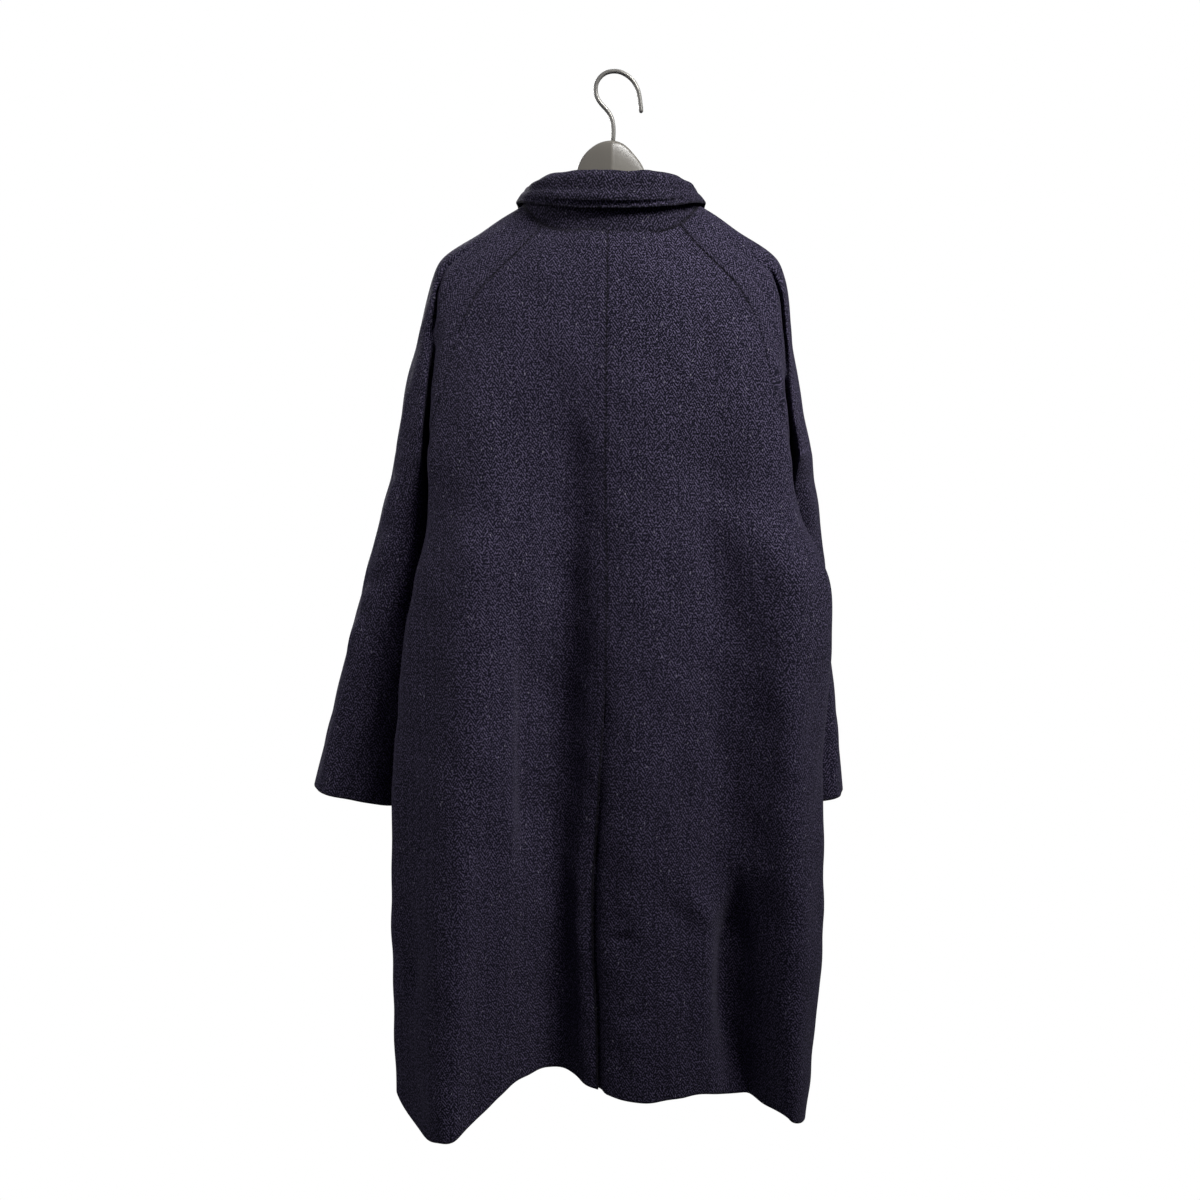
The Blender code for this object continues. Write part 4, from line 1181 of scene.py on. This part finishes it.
class COAT_OT_backs(bpy.types.Operator):
    """Two back panels: below the top of the vent the left laps over an extension of the right"""

    bl_idname = "coat.backs"
    bl_label = "Back panels"

    def execute(self, context):
        cloth = context.scene.coat_cloth
        near = from_seam(cloth)
        vent_row = YOKE_ROWS - 1 + round(BODY_ROWS * VENT_TOP_SHARE)
        pieces = garment()

        left = respace(pieces["back_left"], near, near, BACK_MIDDLE)
        from_centre = lengths(left)
        row = np.arange(len(left))[:, None]
        opened = ease((row - vent_row) / VENT_OPEN_ROWS)
        waves = opened * (1 - VENT_WAVE + VENT_WAVE * np.sin(row / VENT_WAVE_ROWS))
        crest = VENT_CREST * waves * near_line(from_centre, VENT_CREST_PLACE, VENT_CREST_WIDTH)
        left = raise_by(left, crest - VENT_ROLL * opened * (1 - ease(from_centre / VENT_ROLL_WIDTH)))
        thick = hem_thickness(left, cloth, from_centre)
        # painted shade: along the centre seam above the vent, and below it a dark line at the free edge for
        # the shade of the vent's gap
        centre = np.where(row > vent_row, near_line(from_centre), dashed_seam_shade(left, from_centre))
        seam = centre + raglan_seam_shade(left, from_centre[:, -1:] - from_centre)
        left = draw_back(left, cloth.thickness)
        put_cloth("back_left", left, thick, 1, seam)

        lap = pieces["back_left"][:, VENT_LAP_STEPS:0:-1]
        right = respace(pieces["back_right"], near, near, BACK_MIDDLE)
        lap = respace(lap, np.zeros(1), np.zeros(1), VENT_LAP_MIDDLE)[:, :-1]
        both = np.concatenate([lap, right], axis=1)
        lap_columns = lap.shape[1]
        reach = lengths(both) - lengths(both)[:, lap_columns:lap_columns + 1]
        sink = cloth.thickness + LAP_CLEARANCE + (VENT_ROLL + VENT_SINK) * opened
        covered = 1 - ease(np.maximum(reach, 0) / VENT_EASE)
        sink = sink * covered * ease((row - vent_row) / VENT_EASE_ROWS + 1)
        both = raise_by(both, -sink)
        thick = hem_thickness(both, cloth, reach)
        # painted shade along the centre seam above the vent and along the raglan seam
        seam = dashed_seam_shade(both, reach) * (row <= vent_row) + raglan_seam_shade(both, reach[:, -1:] - reach)
        both = draw_back(both, cloth.thickness)
        put_cloth("back_right", both, thick, -1, seam, (vent_row, lap_columns))
        return {"FINISHED"}


class COAT_OT_fronts(bpy.types.Operator):
    """Two front panels: the left laps over the right along the centre front"""

    bl_idname = "coat.fronts"
    bl_label = "Front panels"

    def execute(self, context):
        cloth = context.scene.coat_cloth
        near = from_seam(cloth)
        pieces = garment()
        for side, other, outward in (("left", "right", -1), ("right", "left", 1)):
            own = pieces["front_" + side]
            lap = pieces["front_" + other][:, FRONT_LAP_STEPS:0:-1]
            whole = np.concatenate([lap, own], axis=1)
            centre = lengths(whole)[:, FRONT_LAP_STEPS:FRONT_LAP_STEPS + 1]
            panel = respace(whole, near, near, FRONT_MIDDLE)
            reach = lengths(panel) + near[0] - centre
            if side == "right":
                covered = 1 - ease((np.maximum(reach, 0) - FRONT_LAP) / LAP_EASE)
                panel = raise_by(panel, -(cloth.thickness + LAP_CLEARANCE) * covered)
            thick = hem_thickness(panel, cloth, reach)
            # painted shade along the raglan seam
            seam = raglan_seam_shade(panel, reach[:, -1:] - reach)
            panel = draw_back(panel, cloth.thickness)
            put_cloth("front_" + side, panel, thick, outward, seam)
        return {"FINISHED"}


class COAT_OT_sleeves(bpy.types.Operator):
    """One raglan sleeve a side, from the neck seam over the shoulder to the cuff"""

    bl_idname = "coat.sleeves"
    bl_label = "Sleeves"

    def execute(self, context):
        cloth = context.scene.coat_cloth
        near = from_seam(cloth)
        for side, outward in (("left", 1), ("right", -1)):
            sleeve = respace(garment()["sleeve_" + side], near, near, SLEEVE_MIDDLE)
            along = lengths(sleeve)
            to_seam = np.minimum(along, along[:, -1:] - along)
            above = 1 - ease(np.arange(len(sleeve)) / (YOKE_ROWS - 1))[:, None]
            welt = WELT_RISE * (1 - ease((to_seam - WELT_WIDTH) / STITCH_WIDTH))
            stitch = STITCH_SINK * near_line(to_seam, WELT_WIDTH + STITCH_WIDTH, STITCH_WIDTH)
            sleeve = raise_by(sleeve, (welt - stitch) * above)
            thick = hem_thickness(sleeve, cloth)
            # painted shade along the raglan seam and the welt's stitched line
            seam = raglan_seam_shade(sleeve, to_seam)
            seam = seam + STITCH_PAINTED_SHADE * above * near_line(to_seam, WELT_WIDTH + STITCH_WIDTH)
            sleeve = draw_back(sleeve, cloth.thickness)
            put_cloth("sleeve_" + side, sleeve, thick, outward, seam)
        return {"FINISHED"}


def collar_grid():
    """The collar's middle surface: squared rings from the neck seam up the stand, over the fold and
    down the fall, each open at the front and dipping there from the side's height."""
    grid = []
    for share in np.linspace(0, 1, COLLAR_ROWS):
        row = row_of(COLLAR, "share", share)
        power = 2 / COLLAR_SQUARE
        end = math.pi - math.asin((row["opening"] / row["half"]) ** (1 / power))
        turn = np.linspace(-end, end, 4 * DENSE)
        wide = np.abs(np.sin(turn))
        depth = squared(np.cos(turn), power)
        x = COLLAR_SHIFT + np.sign(turn) * row["half"] * wide**power
        y = (row["back"] + row["front"]) / 2 + depth * (row["back"] - row["front"]) / 2
        y = y - SWEEP * (x / SHOULDER) ** 2
        centre_z = np.where(np.cos(turn) > 0, row["back_z"], row["front_z"])
        rise = np.where(np.cos(turn) > 0, row["back_rise"], row["rise"])
        z = centre_z + (row["side_z"] - centre_z) * wide**rise
        grid.append(even(np.stack([x, y, z], axis=1), COLLAR_COLUMNS))
    return np.array(grid)


class COAT_OT_collar(bpy.types.Operator):
    """The turned-down collar, stand and fall in one folded piece with a stitched edge"""

    bl_idname = "coat.collar"
    bl_label = "Collar"

    def execute(self, context):
        cloth = context.scene.coat_cloth
        grid = collar_grid()
        tucked = grid[:1] + unit(grid[:1] - grid[1:2]) * COLLAR_TUCK
        tucked[..., :2] *= 1 - COLLAR_TUCK_IN
        grid = np.concatenate([tucked, grid])
        normal = unit(np.cross(np.gradient(grid, axis=0), np.gradient(grid, axis=1)))
        along = lengths(grid)
        up = depths(grid)
        places = np.stack([along - along[:, -1:] / 2, up], axis=2)
        data = np.concatenate([grid + normal * cloth.collar_thickness / 2, normal, places], axis=2)
        columns = np.swapaxes(data, 0, 1)
        columns = respace(columns, COLLAR_SEAM_STEPS, COLLAR_EDGE_STEPS, COLLAR_MIDDLE)
        data = np.swapaxes(columns, 0, 1)
        up = depths(data)
        along = lengths(data)
        to_end = np.minimum(along, along[:, -1:] - along)
        from_edge = up[-1:] - up + COLLAR_EDGE_STEPS[0]
        fall = up / up[-1:] > COLLAR_FALL
        edge = np.where(fall, np.minimum(from_edge, to_end), from_edge)
        band = COLLAR_BAND_RISE * np.clip(1 - (2 * edge / COLLAR_BAND - 1) ** 2, 0, 1)
        groove = near_line(edge, COLLAR_BAND + STITCH_WIDTH, STITCH_WIDTH)
        hollow = COLLAR_HOLLOW * near_line(from_edge, COLLAR_HOLLOW_PLACE, COLLAR_HOLLOW_WIDTH)
        hollow = hollow * near_line(data[..., 6], COLLAR_HOLLOW_SIDE, COLLAR_HOLLOW_LONG)
        middle = np.exp(-((data[..., 6] / COLLAR_BAND_LONG) ** 4))
        finish = (band - STITCH_SINK * groove) * middle - hollow + ripple_lift(data[..., 6], data[..., 7])
        data = raise_by(data, finish * ease((up / up[-1:] - COLLAR_FALL) / COLLAR_FALL_EASE))
        thick = np.full(edge.shape, cloth.collar_thickness)
        # painted shade in the topstitched groove, and over the whole collar except the raised band, which
        # stays lighter as a painted highlight
        seam = GROOVE_PAINTED_SHADE * middle * groove * fall
        seam = seam + COLLAR_PAINTED_SHADE * (1 - middle * band / COLLAR_BAND_RISE)
        put_cloth("collar", data, thick, -1, seam)
        return {"FINISHED"}


def turned_button():
    """A button round its own middle: a profile turned through a circle, with four holes sunk in it."""
    knots = lengths(np.column_stack([BUTTON_PROFILE["radius"], BUTTON_PROFILE["rise"]]))
    places = np.linspace(0, knots[-1], BUTTON_RINGS)[1:]
    radius = curve(knots, BUTTON_PROFILE["radius"], places) * BUTTON_RADIUS
    rise = curve(knots, BUTTON_PROFILE["rise"], places) * BUTTON_THICK
    around = np.linspace(0, 2 * math.pi, BUTTON_AROUND, endpoint=False)
    x = radius[:, None] * np.cos(around)
    y = radius[:, None] * np.sin(around)
    z = np.repeat(rise[:, None], BUTTON_AROUND, axis=1)
    inside = np.hypot(np.abs(x) - BUTTON_HOLE_PLACE, np.abs(y) - BUTTON_HOLE_PLACE)
    hole = 1 - ease((inside - BUTTON_HOLE_RADIUS) / BUTTON_HOLE_EDGE)
    dished = (places < knots[BUTTON_DISH_POINT])[:, None]
    z = z - BUTTON_HOLE_DEPTH * hole * dished
    rings = np.stack([x, y, z], axis=2).reshape(-1, 3)
    front = np.array([[0, 0, BUTTON_PROFILE["rise"][0] * BUTTON_THICK]])
    back = np.array([[0, 0, 0]])
    index = np.arange(len(rings)).reshape(len(places), BUTTON_AROUND)
    after = np.roll(index, -1, axis=1)
    quads = np.stack([index[:-1], index[1:], after[1:], after[:-1]], axis=-1).reshape(-1, 4)
    first = np.stack([np.full(BUTTON_AROUND, len(rings)), index[0], after[0]], axis=-1)
    last = np.stack([np.full(BUTTON_AROUND, len(rings) + 1), after[-1], index[-1]], axis=-1)
    return np.concatenate([rings, front, back]), [quads, first, last]


class COAT_OT_buttons(bpy.types.Operator):
    """Turned horn buttons down the centre front, each seated on the left front panel"""

    bl_idname = "coat.buttons"
    bl_label = "Buttons"

    def execute(self, context):
        horn = speckled("horn", context.scene.coat_hardware.horn, roughness=0.35, grains=260.0, spread=0.6)
        points, faces = turned_button()
        line = garment()["front_left"][:, 0]
        order = np.argsort(line[:, 2])
        for number, height in enumerate(BUTTON_HEIGHTS, start=1):
            at = np.array([np.interp(height, line[order, 2], column[order]) for column in line.T])
            out = unit(at[3:6])
            side = unit(np.cross((0, 0, 1), out))
            turn = np.stack([side, np.cross(out, side), out])
            placed = at[:3] + out * BUTTON_SEAT + points @ turn
            put_mixed(f"coat_button_{number}", placed, faces, horn, f"button_{number}")
        return {"FINISHED"}


def shoulder_ridge(side):
    """The highest line inside one shoulder, row by row from the neck to past the hanger's tip."""
    cloth = bpy.context.scene.coat_cloth
    data = garment()["sleeve_" + word(side)][:YOKE_ROWS // 2 + 1]
    inner = data[..., :3] - data[..., 3:6] * cloth.thickness
    top = inner[..., 2].argmax(axis=1)
    return inner[np.arange(len(inner)), top] * (side, 1, 1)


def hanger_sections():
    """Sections of the hanger along x: centre y, top, height and thickness, from one tip to the other."""
    sections = []
    for side in (1, -1):
        ridge = shoulder_ridge(side)
        half = []
        for x, top, height, thick in zip(*HANGER.values()):
            half.append((side * x + HANGER_SHIFT, -SWEEP * x / SHOULDER, top, height, thick))
        for x, height, thick in zip(*HANGER_ARM.values()):
            top = np.interp(x, ridge[:, 0], ridge[:, 2]) - HANGER_CLEARANCE
            half.append((side * x, np.interp(x, ridge[:, 0], ridge[:, 1]), top, height, thick))
        sections = half[::-1] + sections if side > 0 else sections + half[1:]
    return np.array(sections[::-1])


def tube_faces(rings, around):
    """Faces of a closed tube: quads between its rings and one cap at each end."""
    index = np.arange(rings * around).reshape(rings, around)
    after = np.roll(index, -1, axis=1)
    quads = np.stack([index[:-1], after[:-1], after[1:], index[1:]], axis=-1).reshape(-1, 4)
    return [quads, index[:1, ::-1], index[-1:]]


class COAT_OT_hanger(bpy.types.Operator):
    """A moulded hanger: a head with two slanting faces and a rib, and swept arms"""

    bl_idname = "coat.hanger"
    bl_label = "Hanger"

    def execute(self, context):
        sections = hanger_sections()
        length = lengths(sections)
        places = np.linspace(0, length[-1], HANGER_SECTIONS)
        smooth = soften(np.column_stack([curve(length, column, places) for column in sections.T]))
        x, centre, top, height, thick = smooth.T
        slope = HANGER_SLOPE * near_line(x, HANGER_SLOPE_PLACE, HANGER_SLOPE_HALF)
        top, height = top - slope, height - slope
        around = np.linspace(0, 2 * math.pi, HANGER_AROUND, endpoint=False)
        wide = squared(np.sin(around), HANGER_FLATNESS)
        roof = HANGER_ROOF * np.clip(1 - np.abs(x - HANGER_SHIFT) / HANGER_ROOF_HALF, 0, 1)
        rib = HANGER_RIB * (1 - ease(np.abs(x - HANGER_SHIFT) / HANGER_RIB_HALF))
        y = centre[:, None] + wide * (thick / 2 + roof + rib)[:, None]
        z = (top - height / 2)[:, None] + np.cos(around) * (height / 2)[:, None]
        points = np.stack([np.broadcast_to(x[:, None], y.shape), y, z], axis=2)
        faces = tube_faces(HANGER_SECTIONS, HANGER_AROUND)
        colour = context.scene.coat_hardware.plastic
        plastic = speckled("plastic", colour, roughness=0.32, grains=900.0, spread=0.08)
        put_mixed("coat_hanger", points.reshape(-1, 3), faces, plastic, "hanger_body")
        return {"FINISHED"}


class COAT_OT_hook(bpy.types.Operator):
    """The hanger's wire hook: a round wire along a smooth line, with a blunt tip"""

    bl_idname = "coat.hook"
    bl_label = "Hook"

    def execute(self, context):
        hardware = context.scene.coat_hardware
        line = np.column_stack([HOOK["x"], np.zeros_like(HOOK["x"]), HOOK["z"]])
        knots = lengths(line)
        places = np.linspace(0, knots[-1], HOOK_STEPS)
        path = np.column_stack([curve(knots, column, places) for column in line.T])
        for _ in range(HOOK_SOFTENING):
            path = soften(path)
        along = unit(np.gradient(path, axis=0))
        sideways = np.array([0.0, 1.0, 0.0])
        outwards = np.cross(along, sideways)
        around = np.linspace(0, 2 * math.pi, HOOK_AROUND, endpoint=False)[None, :, None]
        to_end = (places[-1] - places) / hardware.wire
        blunt = np.sqrt(np.clip(1 - np.clip(1 - to_end, 0, 1) ** 2, HOOK_TIP_LEAST, 1))[:, None, None]
        ring = np.cos(around) * sideways + np.sin(around) * outwards[:, None]
        points = path[:, None] + hardware.wire * blunt * ring
        steel = speckled("steel", hardware.steel, roughness=0.34, grains=700.0, spread=0.12, metallic=0.35,
                         relief=0.00003)
        faces = tube_faces(HOOK_STEPS, HOOK_AROUND)
        put_mixed("coat_hook", points.reshape(-1, 3), faces, steel, "hanger_hook")
        return {"FINISHED"}


def show_white(tree, kind, shader, output):
    """Shows plain white to the camera, while the shader alone meets the light."""
    white = node(tree, kind, [("Color", (1, 1, 1, 1)), ("Strength", 1.0)])
    ray = node(tree, "ShaderNodeLightPath").outputs["Is Camera Ray"]
    mixed = node(tree, "ShaderNodeMixShader", [(0, ray), (1, shader.outputs[0]), (2, white.outputs[0])])
    tree.links.new(mixed.outputs[0], tree.nodes[output].inputs[0])


def add_light(scene, name, place, target, spread, power):
    """A square soft light at a place, turned to face a target."""
    lamp = bpy.data.lights.new(name, "AREA")
    lamp.size = LIGHT_SIZE
    lamp.energy = power
    lamp.spread = spread
    light = bpy.data.objects.new(name, lamp)
    light.location = place
    away = np.array(place) - np.array(target)
    level = math.hypot(away[0], away[1])
    light.rotation_euler = (math.atan2(level, away[2]), 0, math.atan2(away[0], -away[1]))
    scene.collection.objects.link(light)


class COAT_OT_stage(bpy.types.Operator):
    """A pale floor, a white surround, three soft lights and the camera"""

    bl_idname = "coat.stage"
    bl_label = "Stage"

    def execute(self, context):
        scene = context.scene
        stage = scene.coat_stage
        height = CAD_BOX[0][2] - stage.floor_drop
        turns = ((-1, -1), (1, -1), (1, 1), (-1, 1))
        corners = [(x * FLOOR_REACH, y * FLOOR_REACH, height) for x, y in turns]
        floor_mesh = bpy.data.meshes.new("floor")
        floor_mesh.from_pydata(corners, [], [(0, 1, 2, 3)])
        made, tree, shader = new_material("floor")
        shader.inputs["Base Color"].default_value = FLOOR_GREY
        shader.inputs["Roughness"].default_value = FLOOR_ROUGHNESS
        show_white(tree, "ShaderNodeEmission", shader, "Material Output")
        floor_mesh.materials.append(made)
        floor = bpy.data.objects.new("floor", floor_mesh)
        scene.collection.objects.link(floor)

        world = bpy.data.worlds.new("surround")
        world.use_nodes = True
        lit = world.node_tree.nodes["Background"]
        lit.inputs["Color"].default_value = SURROUND_TINT
        lit.inputs["Strength"].default_value = stage.surround
        show_white(world.node_tree, "ShaderNodeBackground", lit, "World Output")
        scene.world = world

        for name, (place, target, spread) in LIGHTS.items():
            add_light(scene, name, place, target, spread, getattr(stage, name + "_power"))

        camera = bpy.data.objects.new("camera", bpy.data.cameras.new("camera"))
        camera.data.lens = stage.lens
        camera.data.sensor_width = SENSOR_WIDTH
        camera.location = stage.camera_place
        camera.rotation_euler = (math.pi / 2 - stage.camera_dip, 0, math.pi)
        scene.collection.objects.link(camera)
        scene.camera = camera
        scene.view_settings.view_transform = "Standard"
        return {"FINISHED"}


class COAT_PT_panel(bpy.types.Panel):
    """The coat's pieces and sizes in the sidebar"""

    bl_label = "Tweed coat"
    bl_idname = "COAT_PT_panel"
    bl_space_type = "VIEW_3D"
    bl_region_type = "UI"
    bl_category = "Coat"

    def draw(self, context):
        for operator in OPERATORS:
            self.layout.operator(operator.bl_idname)
        for group in GROUPS:
            settings = getattr(context.scene, group)
            for name in settings.__annotations__:
                self.layout.prop(settings, name)


GROUPS = {"coat_cloth": CoatCloth, "coat_hardware": CoatHardware, "coat_stage": CoatStage}
OPERATORS = (COAT_OT_stage, COAT_OT_backs, COAT_OT_fronts, COAT_OT_sleeves, COAT_OT_collar,
             COAT_OT_buttons, COAT_OT_hanger, COAT_OT_hook)


def register():
    """Adds the settings, the operators and the panel."""
    for made in (*GROUPS.values(), *OPERATORS, COAT_PT_panel):
        bpy.utils.register_class(made)
    for name, group in GROUPS.items():
        setattr(bpy.types.Scene, name, bpy.props.PointerProperty(type=group))


def unregister():
    """Takes the settings, the operators and the panel away again."""
    for name in GROUPS:
        delattr(bpy.types.Scene, name)
    for made in (COAT_PT_panel, *OPERATORS, *GROUPS.values()):
        bpy.utils.unregister_class(made)


def main():
    """Makes the stage and every piece."""
    register()
    bpy.ops.coat.stage()
    bpy.ops.coat.backs()
    bpy.ops.coat.fronts()
    bpy.ops.coat.sleeves()
    bpy.ops.coat.collar()
    bpy.ops.coat.buttons()
    bpy.ops.coat.hanger()
    bpy.ops.coat.hook()


if __name__ == "__main__":
    main()
